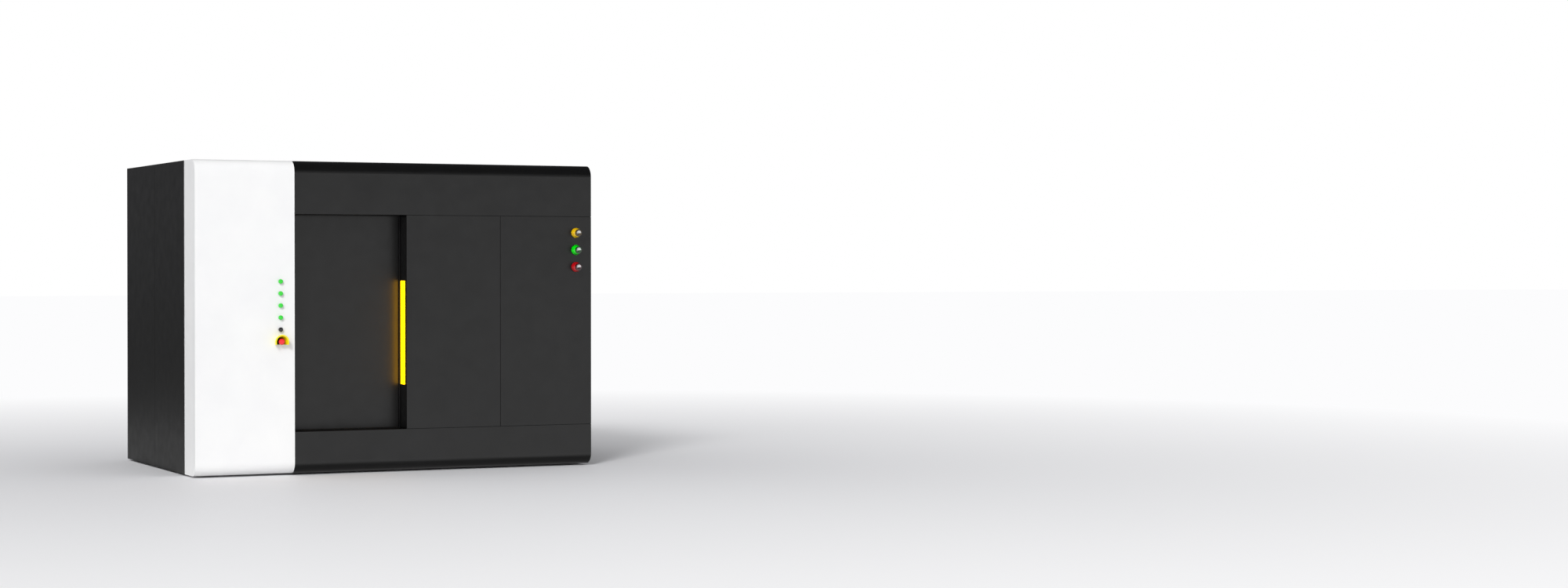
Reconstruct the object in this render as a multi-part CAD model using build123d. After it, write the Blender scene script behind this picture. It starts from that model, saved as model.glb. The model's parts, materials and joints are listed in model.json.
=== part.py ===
"""Industrial CT scanner: a walk-up shielded cabinet with a sliding loading door.

Every function below works in cabinet coordinates, in millimetres: x runs from the left face
to the right, y runs back from the front face, and z runs up from the floor. The last section
moves each piece to the frame whose origin is the bottom centre of the whole machine.
"""
from build123d import *
import math
import os

# Outer cabinet
cabinet_width = 2800.0
cabinet_depth = 1950.0
cabinet_height = 2100.0
ground_gap = 12.0  # clear space between the covers and the floor
cover_sheet = 3.0  # thickness of the folded covers
cladding_depth = 40.0  # how far the outer trays stand off the shielded cabin
flange_depth = 25.0  # folded edge of a cover

# Front face, from left to right: control column, door bay, pocket cover, lamp cover
column_width = 670.0
bay_width = 780.0
pocket_cover_width = 675.0
module_depth = 280.0
edge_radius = 80.0  # long rounded edges at the top and the bottom of the front
sill_height = 290.0
fascia_height = 355.0  # of the upper fascia, over the bay
bay_depth = 155.0
reveal_depth = 150.0
seam_gap = 3.0
seal_setback = 5.0
seal_depth = 15.0
seal_end_gap = 1.0  # from the ends of the level seals to the right side

# Base frame and feet
beam_bottom = 70.0
beam_size = 100.0
beam_wall = 6.0
beam_inset = 20.0
front_beam_gap = 70.0  # from the front covers to the middle of the front beam
cross_beam_count = 4
feet_per_beam = 4
foot_inset = 150.0
foot_radius = 50.0
foot_pad_height = 10.0
foot_neck_height = 26.0
foot_stem_radius = 12.0
foot_nut_radius = 19.0
foot_nut_height = 14.0

# Shielded cabin
wall = 32.0  # sandwich of steel and lead
equipment_width = 568.0  # from the partition to the service doors' frame
opening_margin = 20.0  # how far the opening stays inside the bay

# Sliding door
leaf_thickness = 45.0
leaf_overlap = 60.0
leaf_corner = 4.0
door_gap = 13.0  # between the leaf and the cabin
door_travel = 820.0
groove_width = 14.0
groove_depth = 22.0
guide_thickness = 10.0
guide_engagement = 17.0
guide_drop = 25.0  # from the underside of the leaf to the foot of the guide
rail_thickness = 8.0
rail_height = 56.0
rail_lift = 15.0  # from the top of the leaf to the rail
rail_setback = 8.0  # from the middle of the leaf to the middle of the rail
rail_end_margin = 40.0
standoff_size = 30.0
standoff_count = 6
roller_tread_radius = 36.0
roller_flange_radius = 43.0
roller_width = 22.0
roller_groove_width = 10.0
roller_bore_clearance = 0.05
roller_side_clearance = 0.5
running_clearance = 0.3
axle_radius = 8.0
axle_head_radius = 12.0
axle_head_thickness = 4.0
hanger_width = 90.0
hanger_plate = 8.0
hanger_inset = 140.0
hanger_foot_depth = 35.0
hanger_foot_height = 8.0
hanger_axle_gap = 10.0
drive_height = 60.0
drive_thickness = 38.0
drive_clearance_above_roller = 20.0
drive_carriage_length = 120.0
drive_motor_length = 170.0
drive_motor_radius = 34.0

# Door interlock
switch_width = 90.0
switch_height = 50.0
switch_thickness = 42.0
switch_below_lintel = 220.0
key_thickness = 4.0
key_height = 14.0
key_reach = 34.0
key_gap = 12.0  # between the leaf and the switch
key_clearance = 1.0

# Yellow light on the reveal of the door bay
strip_bottom = 592.0
strip_length = 705.0
strip_inset = 42.0
strip_width = 62.0
strip_proud = 2.0
strip_body = 26.0
strip_corner = 6.0
strip_lip = 5.0

# Push buttons, in one column near the edge of the control column
device_edge = 98.5  # from the right edge of the column to the buttons
device_pitch = 80.0
estop_height = 895.0
button_count = 5
bezel_radius = 12.2
bezel_height = 9.0
cap_wall = 2.4
cap_crown = 5.5  # thickness of the cap in front
cap_rim_gap = 1.0  # from the pressed cap to the panel
cap_clearance = 0.2
cap_travel = 4.0
barrel_radius = 11.0
barrel_length = 32.0
contact_size = 28.0
contact_length = 34.0
plunger_radius = 7.0

# Emergency stops with their guards
guard_radius = 47.0  # at the front, where the guard is widest
guard_base_radius = 36.0
guard_wall = 10.0
guard_leg = 20.0
guard_depth = 52.0
guard_plate = 4.0
guard_edge = 1.5
mushroom_radius = 20.5
mushroom_height = 14.0
mushroom_face = 46.0  # from the panel to the crown of the head
mushroom_travel = 5.0
collar_radius = 18.0
collar_height = 20.0
stop_stem_radius = 9.0
side_stop_setback = 390.0

# Signal lamps
lamp_edge = 116.0  # from the right face of the machine
lamp_drop = 115.0  # from the lintel to the upper lamp
lamp_pitch = 119.0
lamp_radius = 35.0
lamp_base_height = 12.0
lamp_shoulder_radius = 26.0
lamp_shoulder_height = 29.0
lamp_groove_radius = 20.0
lamp_groove_height = 33.0
lamp_tip_radius = 24.0
lamp_tip_length = 20.0
lamp_height = 62.0
lamp_cup_radius = 16.0
lamp_cup_depth = 9.0
lamp_stem_radius = 11.0
lamp_gasket = 2.0
lamp_edge_radius = 3.0

# Service doors in the right side
leaf_top = 1890.0
leaf_bottom = 160.0
leaf_front = 562.0
leaf_rear = 1656.0
leaf_gap = 2.5
leaf_fold = 25.0
service_sheet = 2.5
hinge_heights = (430.0, 1025.0, 1620.0)
hinge_length = 64.0
hinge_plate = 4.0
hinge_plate_width = 34.0
hinge_radius = 8.0
hinge_pin_radius = 4.0
hinge_pin_clearance = 0.1
hinge_knuckle_gap = 0.5
hinge_plate_gap = 6.0

# Ventilation in the service doors
hood_width = 280.0
hood_height = 200.0
hood_depth = 30.0
hood_wall = 2.5
hood_corner = 8.0
hood_slots = 6
hood_centre = 1548.0
grille_width = 380.0
grille_height = 240.0
grille_depth = 20.0
grille_corner = 5.0
grille_slots = 11
grille_centre = 496.0
slot_margin = 22.0
slot_share = 0.45
fan_frame_size = 176.0
fan_frame_depth = 38.0
fan_bore_radius = 80.0
fan_rotor_radius = 76.0
fan_hub_radius = 30.0
fan_hub_depth = 26.0
fan_blades = 7
fan_blade_thickness = 2.5
fan_blade_pitch = 38.0
fan_motor_radius = 28.0
fan_arm_width = 8.0
fan_arm_depth = 5.0
fan_axle_radius = 4.0
fan_axle_clearance = 0.1

# Latch of the service doors
latch_edge = 38.0  # from the free edge of the front leaf
latch_height = 1025.0
escutcheon_width = 40.0
escutcheon_height = 110.0
escutcheon_thickness = 6.0
spindle_radius = 8.0
spindle_clearance = 0.1
lever_length = 105.0
lever_width = 20.0
lever_thickness = 12.0
lever_boss_radius = 15.0
lever_boss_height = 12.0
tongue_length = 70.0
tongue_width = 22.0
tongue_thickness = 5.0
tongue_gap = 5.0  # from the folded edge of the leaf to the tongue

# Measuring machine inside the cabin
bed_gap = 64.0  # from the bed to the walls at its ends
bed_front_reach = 440.0  # from the beam line to the front edge of the bed
bed_rear_margin = 30.0  # from the columns to the rear edge of the bed
bed_thickness = 250.0
bed_chamfer = 8.0
mount_height = 50.0
mount_radius = 60.0
mount_inset = 160.0
beam_line_depth = 1000.0  # y of the x-ray beam
beam_line_height = 1150.0  # z of the x-ray beam

rail_width = 30.0
rail_section_height = 28.0
rail_waist = 20.0
rail_head = 10.0
block_length = 84.0
block_width = 60.0
block_height = 44.0
block_standoff = 6.0
block_clearance = 0.3

table_start = 420.0  # from the left end of the rails to the table at rest
x_rail_start = 504.0  # from the left end of the bed
x_rail_end = 336.0  # from the right end of the bed
x_rail_spread = 260.0
table_length = 380.0
table_width = 340.0
table_plate = 30.0
screw_radius = 12.0
screw_overhang = 50.0
bearing_size = 64.0
bearing_length = 40.0
axis_motor_size = 80.0
axis_motor_length = 150.0
nut_length = 70.0

turntable_radius = 150.0
turntable_height = 150.0
turntable_flange = 310.0
turntable_flange_height = 18.0
platter_radius = 165.0
platter_thickness = 28.0
platter_gap = 1.0
spigot_radius = 61.9
spigot_length = 40.0
spigot_clearance = 0.1
platter_bore_radius = 25.0
platter_hole_radius = 4.25
platter_hole_count = 8
platter_hole_circle = 240.0

column_width_inside = 300.0
column_depth_inside = 240.0
column_height = 1300.0
column_reach = 330.0  # from the beam line to the face of the columns
source_column_inset = 54.0  # from the left end of the bed
detector_column_inset = 16.0  # from the right end of the bed
column_chamfer = 10.0
column_rail_spread = 180.0
column_rail_foot = 58.0
column_rail_length = 1220.0
lift_plate = 25.0
lift_plate_width = 280.0
lift_plate_height = 300.0
magnet_track_width = 60.0
magnet_track_thickness = 12.0
motor_air_gap = 0.8

tube_radius = 100.0
tube_overhang = 40.0  # how far the tube starts to the left of its column
tube_cap_length = 50.0
tube_body_length = 280.0
tube_cone_length = 60.0
tube_head_length = 60.0
tube_cap_radius = 72.0
tube_head_radius = 45.0
tube_window_radius = 25.0
tube_window_depth = 4.0
tube_ring_count = 6
tube_ring_width = 6.0
tube_ring_depth = 5.0
tube_clearance = 0.2
clamp_width = 40.0
clamp_wall = 24.0
clamp_spread = 180.0

detector_inset = 20.0  # from the left side of its column
detector_size = 460.0
detector_thickness = 55.0
detector_window_size = 410.0
detector_window_depth = 2.0
detector_corner = 14.0
bracket_thickness = 20.0
bracket_height = 240.0
gusset_reach = 110.0

# Equipment compartment
plate_gap = 60.0
plate_thickness = 4.0
plate_margin = 70.0
plate_bottom_gap = 420.0
edge_radius_small = 12.0
generator_width = 380.0
generator_depth = 620.0
generator_height = 330.0
generator_front_gap = 175.0  # from the front wall of the cabin
generator_socket_radius = 38.0
generator_socket_height = 45.0
module_row_pitch = 310.0
module_height = 200.0
module_margin = 20.0  # at the ends and between the modules of a row
module_reach = 110.0
module_reach_step = 45.0
duct_width = 60.0
duct_gap = 30.0  # from the duct to the modules above it

# Levels and planes that follow from the sizes above
bay_left = column_width
bay_right = bay_left + bay_width
cover_split = bay_right + pocket_cover_width
lintel_height = cabinet_height - fascia_height
cabin_left = cladding_depth
cabin_right = cabinet_width - cladding_depth
cabin_back = cabinet_depth - cladding_depth
cabin_top = cabinet_height - cladding_depth
cabin_bottom = beam_bottom + beam_size
door_front = bay_depth
door_back = door_front + leaf_thickness
cabin_front = door_back + door_gap
inside_front = cabin_front + wall
inside_back = cabin_back - wall
inside_bottom = cabin_bottom + wall
inside_top = cabin_top - wall
inside_left = cabin_left + wall
partition_right = cabin_right - equipment_width
partition_left = partition_right - wall

door_left = bay_left - leaf_overlap
door_right = bay_right + leaf_overlap
door_bottom = sill_height - leaf_overlap
door_top = lintel_height + leaf_overlap
door_middle = (door_front + door_back) / 2

device_x = bay_left - device_edge
lamp_x = cabinet_width - lamp_edge
lamp_top = lintel_height - lamp_drop

column_face = beam_line_depth + column_reach
bed_left = inside_left + bed_gap
bed_right = partition_left - bed_gap
bed_front = beam_line_depth - bed_front_reach
bed_back = column_face + column_depth_inside + bed_rear_margin
bed_bottom = inside_bottom + mount_height
bed_top = bed_bottom + bed_thickness
x_rail_left = bed_left + x_rail_start
x_rail_length = bed_right - x_rail_end - x_rail_left
table_rest = x_rail_left + table_start
table_plate_bottom = bed_top + block_standoff + block_height
table_plate_top = table_plate_bottom + table_plate
turntable_top = table_plate_top + turntable_height
platter_bottom = turntable_top + platter_gap
platter_top = platter_bottom + platter_thickness
screw_height = bed_top + bearing_size / 2
source_column_left = bed_left + source_column_inset
detector_column_left = bed_right - detector_column_inset - column_width_inside
source_column_middle = source_column_left + column_width_inside / 2
detector_column_middle = detector_column_left + column_width_inside / 2
lift_plate_back = column_face - block_standoff - block_height
lift_plate_front = lift_plate_back - lift_plate
tube_left = source_column_left - tube_overhang


# Small helpers

def block(x, y, z):
    """A box given by its low and high value on each axis."""
    lows = [min(pair) for pair in (x, y, z)]
    sizes = [abs(pair[1] - pair[0]) for pair in (x, y, z)]
    return Pos(*lows) * Box(*sizes, align=(Align.MIN, Align.MIN, Align.MIN))


def around(middle, size):
    """The low and high value of a span centred on middle."""
    return (middle - size / 2, middle + size / 2)


def spread(low, high, count):
    """Evenly spaced values from low to high, both included."""
    step = (high - low) / (count - 1)
    return [low + step * index for index in range(count)]


def rod_x(radius, x, y, z):
    """A round bar along x, between the two values of x."""
    return Pos(x[0], y, z) * Rot(0, 90, 0) * Cylinder(
        radius, x[1] - x[0], align=(Align.CENTER, Align.CENTER, Align.MIN))


def rod_y(radius, x, y, z):
    """A round bar along y, between the two values of y."""
    return Pos(x, y[0], z) * Rot(-90, 0, 0) * Cylinder(
        radius, y[1] - y[0], align=(Align.CENTER, Align.CENTER, Align.MIN))


def rod_z(radius, x, y, z):
    """A round bar along z, between the two values of z."""
    return Pos(x, y, z[0]) * Cylinder(
        radius, z[1] - z[0], align=(Align.CENTER, Align.CENTER, Align.MIN))


def turned(outline):
    """A solid of revolution about z, from (radius, height) points."""
    section = make_face(Polyline(*[(r, 0, h) for r, h in outline], close=True))
    return revolve(section, Axis.Z)


def group(shapes):
    """Separate solids kept side by side in one piece file."""
    return Compound([solid for shape in shapes for solid in shape.solids()])


def tray_x(outer, inner, y, z, fold=cover_sheet):
    """A folded panel that faces along x: a skin at outer, edges folded back to inner."""
    side = 1 if inner > outer else -1
    body = block((outer, inner), y, z)
    hollow = block((outer + side * fold, inner + side), (y[0] + fold, y[1] - fold),
                   (z[0] + fold, z[1] - fold))
    return body - hollow


def tray_y(outer, inner, x, z, fold=cover_sheet):
    """A folded panel that faces along y: a skin at outer, edges folded back to inner."""
    side = 1 if inner > outer else -1
    body = block(x, (outer, inner), z)
    hollow = block((x[0] + fold, x[1] - fold), (outer + side * fold, inner + side),
                   (z[0] + fold, z[1] - fold))
    return body - hollow


# Front covers: one rounded section, folded from sheet

def section_slab(x, inset=0.0, back=None):
    """Front module between two values of x, with its long edges rounded, drawn inside by inset."""
    depth = module_depth if back is None else back
    body = block(x, (inset, depth), (ground_gap + inset, cabinet_height - inset))
    edges = body.edges().filter_by(Axis.X).group_by(Axis.Y)[0]
    return fillet(edges, edge_radius - inset)


def folded_front(x):
    """Front skin with its rounded top and bottom edges, open at both ends and at the back."""
    return section_slab(x) - section_slab((x[0] - 1, x[1] + 1), cover_sheet, module_depth + 1)


def roof_lip(x):
    """Folded edge at the back of a front cover, which stands on the roof of the cabin."""
    return block(x, (module_depth - cover_sheet, module_depth),
                 (cabin_top, cabinet_height - cover_sheet))


def floor_lip(x):
    """Folded edge at the back of a front cover, which reaches up to the floor of the cabin."""
    return block(x, (module_depth - cover_sheet, module_depth),
                 (ground_gap + cover_sheet, cabin_bottom))


def button_heights():
    """Heights of the push buttons, from the top one down to the one above the stop."""
    return [estop_height + device_pitch * step for step in range(button_count, 0, -1)]


def control_column():
    """White cover at the left end, with the holes of the push buttons and the stop."""
    body = folded_front((0, bay_left))
    body += section_slab((0, cover_sheet))
    reveal = section_slab((bay_left - cover_sheet, bay_left))
    body += reveal & block((0, bay_left), (0, reveal_depth), (0, cabinet_height))
    inside = (cover_sheet, bay_left)
    body += roof_lip(inside) + floor_lip(inside)
    for height in [estop_height] + button_heights():
        body -= rod_y(barrel_radius, device_x, (-1, cover_sheet + 1), height)
    return body


def upper_fascia():
    """Dark cover over the bay, with the rounded upper edge of the machine."""
    x = (bay_left, cabinet_width)
    body = folded_front(x) + section_slab((cabinet_width - cover_sheet, cabinet_width))
    body &= block((0, cabinet_width), (0, module_depth), (lintel_height, cabinet_height))
    body += block(x, (0, reveal_depth), (lintel_height, lintel_height + cover_sheet))
    return body + roof_lip(x)


def lower_fascia():
    """Dark cover under the bay, with the rounded lower edge of the machine."""
    x = (bay_left, cabinet_width)
    body = folded_front(x) + section_slab((cabinet_width - cover_sheet, cabinet_width))
    body &= block((0, cabinet_width), (0, module_depth), (0, sill_height))
    body += block(x, (0, reveal_depth), (sill_height - cover_sheet, sill_height))
    return body + floor_lip(x)


def cover_levels():
    """Bottom and top of the two covers between the fascias."""
    return (sill_height + seam_gap, lintel_height - seam_gap)


def pocket_cover():
    """Dark cover that the door slides behind, with the window of the yellow light."""
    z = cover_levels()
    x = (bay_right, cover_split - seam_gap / 2)
    body = tray_y(0, flange_depth, x, z)
    body += block((x[0], x[0] + cover_sheet), (0, reveal_depth), z)
    window = block((x[0] - 1, x[0] + cover_sheet + 1), strip_depths(), strip_levels())
    return body - window


def lamp_cover():
    """Dark cover at the right end, which carries the signal lamps."""
    z = cover_levels()
    x = (cover_split + seam_gap / 2, cabinet_width)
    body = tray_y(0, flange_depth, x, z)
    body += block((x[1] - cover_sheet, x[1]), (0, module_depth), z)
    for height in lamp_heights():
        body -= rod_y(lamp_stem_radius, lamp_x, (-1, cover_sheet + 1), height)
    return body


def cover_seals():
    """Black rubber strips that fill the seams between the dark front covers."""
    y = (seal_setback, seal_setback + seal_depth)
    low, high = cover_levels()
    strips = []
    for z in ((sill_height, low), (high, lintel_height)):
        strips.append(block((bay_right, cabinet_width - seal_end_gap), y, z))
    strips.append(block(around(cover_split, seam_gap), y, (low, high)))
    return group(strips)


def strip_depths():
    """Front and back edge of the yellow light, on the reveal."""
    return (strip_inset, strip_inset + strip_width)


def strip_levels():
    """Bottom and top of the yellow light."""
    return (strip_bottom, strip_bottom + strip_length)


def light_strip():
    """Yellow light in the reveal: a flat diffuser with rounded corners on a slim body."""
    y, z = strip_depths(), strip_levels()
    face = block((bay_right - strip_proud, bay_right + cover_sheet), y, z)
    face = fillet(face.edges().filter_by(Axis.X), strip_corner)
    window = block((bay_right, bay_right + cover_sheet), y, z)
    body = block((bay_right + cover_sheet, bay_right + strip_body),
                 (y[0] - strip_lip, y[1] + strip_lip), (z[0] - strip_lip, z[1] + strip_lip))
    return (face & window) + (face - window) + body


# Outer trays on the sides, the back and the roof

def left_side_panels():
    """Two trays on the left side, with one upright seam between them."""
    middle = (module_depth + cabinet_depth) / 2
    z = (ground_gap, cabinet_height)
    front = tray_x(0, cladding_depth, (module_depth, middle - seam_gap / 2), z)
    rear = tray_x(0, cladding_depth, (middle + seam_gap / 2, cabinet_depth), z)
    return group([front, rear])


def rear_panels():
    """Three trays on the back."""
    z = (ground_gap, cabinet_height)
    edges = spread(cladding_depth, cabinet_width - cladding_depth, 4)
    panels = []
    for left, right in zip(edges, edges[1:]):
        x = (left + seam_gap / 2, right - seam_gap / 2)
        panels.append(tray_y(cabinet_depth, cabin_back, x, z))
    return group(panels)


def roof_panels():
    """Two trays on the roof."""
    edges = spread(cladding_depth, cabinet_width - cladding_depth, 3)
    panels = []
    for left, right in zip(edges, edges[1:]):
        x = (left + seam_gap / 2, right - seam_gap / 2)
        y = (module_depth, cabin_back)
        body = block(x, y, (cabin_top, cabinet_height))
        hollow = block((x[0] + cover_sheet, x[1] - cover_sheet),
                       (y[0] + cover_sheet, y[1] - cover_sheet),
                       (cabin_top - 1, cabinet_height - cover_sheet))
        panels.append(body - hollow)
    return group(panels)


def side_frame():
    """Right side of the machine: a folded frame around the two service doors."""
    y = (module_depth, cabinet_depth)
    z = (ground_gap, cabinet_height)
    body = tray_x(cabinet_width, cabin_right, y, z)
    doorway_y = (leaf_front - leaf_gap, leaf_rear + leaf_gap)
    doorway_z = (leaf_bottom - leaf_gap, leaf_top + leaf_gap)
    rim = block((cabinet_width - leaf_fold, cabinet_width),
                (doorway_y[0] - cover_sheet, doorway_y[1] + cover_sheet),
                (doorway_z[0] - cover_sheet, doorway_z[1] + cover_sheet))
    body += rim
    body -= block((cabin_right - 1, cabinet_width + 1), doorway_y, doorway_z)
    body -= rod_x(barrel_radius, (cabinet_width - cover_sheet - 1, cabinet_width + 1),
                  side_stop_setback, estop_height)
    return body


# Base frame, feet and shielded cabin

def long_beam_lines():
    """Middle of the front and of the rear long beam."""
    front = module_depth + front_beam_gap
    back = cabin_back - beam_inset - beam_size / 2
    return (front, back)


def cross_beam_lines():
    """Middle of each cross beam."""
    low = cabin_left + beam_inset + beam_size / 2
    high = cabin_right - beam_inset - beam_size / 2
    return spread(low, high, cross_beam_count)


def base_beams():
    """Square tubes under the cabin: two long beams and the cross beams between them."""
    z = (beam_bottom, cabin_bottom)
    hollow_z = (z[0] + beam_wall, z[1] - beam_wall)
    beams = []
    for middle in long_beam_lines():
        x = (cabin_left + beam_inset, cabin_right - beam_inset)
        tube = block(x, around(middle, beam_size), z)
        inside = around(middle, beam_size - 2 * beam_wall)
        beams.append(tube - block((x[0] - 1, x[1] + 1), inside, hollow_z))
    front, back = long_beam_lines()
    y = (front + beam_size / 2, back - beam_size / 2)
    for middle in cross_beam_lines():
        tube = block(around(middle, beam_size), y, z)
        inside = around(middle, beam_size - 2 * beam_wall)
        beams.append(tube - block(inside, (y[0] - 1, y[1] + 1), hollow_z))
    return group(beams)


def levelling_feet():
    """Machine feet: a broad pad, a threaded stem and its lock nut under the beam."""
    nut_bottom = beam_bottom - foot_nut_height
    foot = turned([
        (0, 0), (foot_radius, 0), (foot_radius, foot_pad_height),
        (foot_nut_radius, foot_neck_height), (foot_stem_radius, foot_neck_height),
        (foot_stem_radius, nut_bottom), (foot_nut_radius, nut_bottom),
        (foot_nut_radius, beam_bottom), (0, beam_bottom),
    ])
    places = spread(cabin_left + foot_inset, cabin_right - foot_inset, feet_per_beam)
    return group([Pos(x, y, 0) * foot for y in long_beam_lines() for x in places])


def cabin_slab(z):
    """Floor or roof of the cabin, over its whole outline."""
    return block((cabin_left, cabin_right), (cabin_front, cabin_back), z)


def cabin_front_wall():
    """Front wall of the cabin: four plates round the loading opening behind the door."""
    y = (cabin_front, inside_front)
    left, right = bay_left + opening_margin, bay_right - opening_margin
    sill, lintel = sill_height + opening_margin, lintel_height - opening_margin
    return group([
        block((cabin_left, left), y, (inside_bottom, inside_top)),
        block((right, cabin_right), y, (inside_bottom, inside_top)),
        block((left, right), y, (inside_bottom, sill)),
        block((left, right), y, (lintel, inside_top)),
    ])


def cabin_rear_wall():
    """Rear wall of the cabin."""
    return block((cabin_left, cabin_right), (inside_back, cabin_back),
                 (inside_bottom, inside_top))


def cabin_side_walls():
    """Left wall, and the partition between the cabin and the equipment."""
    y = (inside_front, inside_back)
    z = (inside_bottom, inside_top)
    left = block((cabin_left, inside_left), y, z)
    partition = block((partition_left, partition_right), y, z)
    return group([left, partition])


# Sliding door, its tracks, rollers and drive

rail_bottom = door_top + rail_lift
rail_top = rail_bottom + rail_height
roller_height = rail_top + running_clearance + roller_tread_radius
drive_bottom = roller_height + roller_flange_radius + drive_clearance_above_roller
drive_top = drive_bottom + drive_height
rail_middle = door_middle + rail_setback
roller_front = rail_middle - roller_width / 2
hanger_back = roller_front - hanger_axle_gap
hanger_front = hanger_back - hanger_plate
drive_front = cabin_front - drive_thickness
track_left = door_left - rail_end_margin
track_right = door_right + door_travel + rail_end_margin


def hanger_places():
    """Middle of the left and of the right hanger."""
    return (door_left + hanger_inset, door_right - hanger_inset)


def door_leaf():
    """Shielded door leaf with the guide groove in its lower edge."""
    leaf = block((door_left, door_right), (door_front, door_back), (door_bottom, door_top))
    leaf = chamfer(leaf.edges().filter_by(Axis.Z), leaf_corner)
    groove = block((door_left - 1, door_right + 1), around(door_middle, groove_width),
                   (door_bottom - 1, door_bottom + groove_depth))
    return leaf - groove


def door_hangers():
    """Hanger plates with their axles, the drive carriage and the key of the interlock."""
    pieces = []
    for x in hanger_places():
        plate = block(around(x, hanger_width), (hanger_front, hanger_back),
                      (door_top, drive_bottom - running_clearance))
        foot = block(around(x, hanger_width), (hanger_front, hanger_front + hanger_foot_depth),
                     (door_top, door_top + hanger_foot_height))
        roller_back = roller_front + roller_width
        axle = rod_y(axle_radius, x, (hanger_back, roller_back + 2 * roller_side_clearance),
                     roller_height)
        head_start = roller_back + roller_side_clearance
        head = rod_y(axle_head_radius, x, (head_start, head_start + axle_head_thickness),
                     roller_height)
        boss = rod_y(axle_head_radius, x, (hanger_back, roller_front - roller_side_clearance),
                     roller_height)
        pieces.append(plate + foot + axle + head + boss)
    middle = hanger_places()[0]
    carriage = block(around(middle, drive_carriage_length),
                     (hanger_front, drive_front - running_clearance),
                     (drive_bottom - running_clearance, drive_top - hanger_plate))
    pieces.append(carriage)
    level = switch_level()
    pieces.append(block((door_left - key_gap - key_reach, door_left),
                        around(door_middle, key_thickness), around(level, key_height)))
    return group(pieces)


def door_roller(x):
    """Grooved roller that runs on the top edge of the rail."""
    half = roller_width / 2
    lip = roller_groove_width / 2
    bore = axle_radius + roller_bore_clearance
    profile = turned([
        (bore, -half), (roller_flange_radius, -half), (roller_flange_radius, -lip),
        (roller_tread_radius, -lip), (roller_tread_radius, lip),
        (roller_flange_radius, lip), (roller_flange_radius, half), (bore, half),
    ])
    return Pos(x, rail_middle, roller_height) * Rot(-90, 0, 0) * profile


def door_tracks():
    """Top rail on its standoffs, and the bottom guide in the groove of the leaf."""
    rail = block((track_left, track_right), around(rail_middle, rail_thickness),
                 (rail_bottom, rail_top))
    z = around((rail_bottom + rail_top) / 2, standoff_size)
    y = (rail_middle + rail_thickness / 2, cabin_front)
    first, last = track_left + standoff_size, track_right - standoff_size
    for x in spread(first, last, standoff_count):
        rail += block(around(x, standoff_size), y, z)
    foot = door_bottom - guide_drop
    guide = block((track_left, track_right), around(door_middle, guide_thickness),
                  (foot, door_bottom + guide_engagement))
    guide += block((track_left, track_right), (door_middle, cabin_front),
                   (foot, foot + guide_thickness))
    return group([rail, guide])


def door_drive():
    """Closed linear drive over the rail, with its motor at the left end."""
    unit = block((track_left, track_right), (drive_front, cabin_front), (drive_bottom, drive_top))
    slot = block((track_left + hanger_plate, track_right - hanger_plate),
                 (drive_front - 1, drive_front + hanger_plate),
                 around((drive_bottom + drive_top) / 2, hanger_plate))
    middle = (drive_front + cabin_front) / 2
    level = (drive_bottom + drive_top) / 2
    gearbox = block((track_left - drive_height, track_left), (drive_front - drive_thickness, cabin_front),
                    (drive_bottom, drive_top))
    motor = rod_x(drive_motor_radius, (track_left - drive_height - drive_motor_length,
                                       track_left - drive_height),
                  middle - drive_thickness / 2, level)
    return group([unit - slot, gearbox, motor])


# Devices on the panels

def switch_level():
    """Height of the door interlock."""
    return lintel_height - switch_below_lintel


def interlock_switch():
    """Safety switch beside the closed door, with the slot for the key."""
    right = door_left - key_gap
    level = switch_level()
    body = block((right - switch_width, right), (cabin_front - switch_thickness - door_gap, cabin_front),
                 around(level, switch_height))
    slot = block((right - key_reach - 2 * key_clearance, right + 1),
                 around(door_middle, key_thickness + 2 * key_clearance),
                 around(level, key_height + 2 * key_clearance))
    return body - slot


cap_radius = bezel_radius + cap_clearance + cap_wall


def button_body(height):
    """Bezel, threaded barrel and contact block of one push button."""
    bezel = rod_y(bezel_radius, device_x, (-bezel_height, 0), height)
    bezel += rod_y(barrel_radius, device_x, (0, barrel_length), height)
    bezel -= rod_y(plunger_radius + cap_clearance, device_x,
                   (-bezel_height - 1, barrel_length - cap_travel), height)
    block_y = (barrel_length, barrel_length + contact_length)
    contact = block(around(device_x, contact_size), block_y, around(height, contact_size))
    return bezel + contact


def button_cap(height):
    """Cap of a push button: a cup whose skirt covers the bezel, with the plunger in it."""
    inner = -bezel_height - cap_travel - running_clearance
    rim = -cap_travel - cap_rim_gap
    cap = rod_y(cap_radius, device_x, (inner - cap_crown, rim), height)
    front = cap.edges().filter_by(GeomType.CIRCLE).sort_by(Axis.Y)[0]
    cap = fillet(front, cap_crown / 3)
    cap -= rod_y(bezel_radius + cap_clearance, device_x, (inner, rim + 1), height)
    plunger_end = barrel_length - 2 * cap_travel - running_clearance
    return cap + rod_y(plunger_radius, device_x, (inner, plunger_end), height)


def stop_unit():
    """Emergency stop body on the z axis: collar in front of the panel, barrel behind it."""
    collar = rod_z(collar_radius, 0, 0, (guard_plate, collar_height))
    barrel = rod_z(barrel_radius, 0, 0, (-barrel_length, guard_plate))
    contact = block(around(0, contact_size), around(0, contact_size),
                    (-barrel_length - contact_length, -barrel_length))
    shaft = rod_z(stop_stem_radius + cap_clearance, 0, 0,
                  (-barrel_length + mushroom_travel, collar_height + 1))
    return collar + barrel + contact - shaft


def flared_arch(low, high, inset, leg):
    """Half cone over two straight legs, which widens towards the front, drawn inside by inset."""
    slope = (guard_radius - guard_base_radius) / guard_depth
    small, large = (guard_base_radius + slope * level - inset for level in (low, high))
    cone = Pos(0, 0, low) * Cone(small, large, high - low,
                                 align=(Align.CENTER, Align.CENTER, Align.MIN))
    cone &= block(around(0, 2 * large), (0, large), (low, high))
    legs = make_face(Polyline((-small, 0, low), (small, 0, low), (large, 0, high),
                              (-large, 0, high), close=True))
    return cone + extrude(legs, leg, dir=(0, -1, 0))


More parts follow.
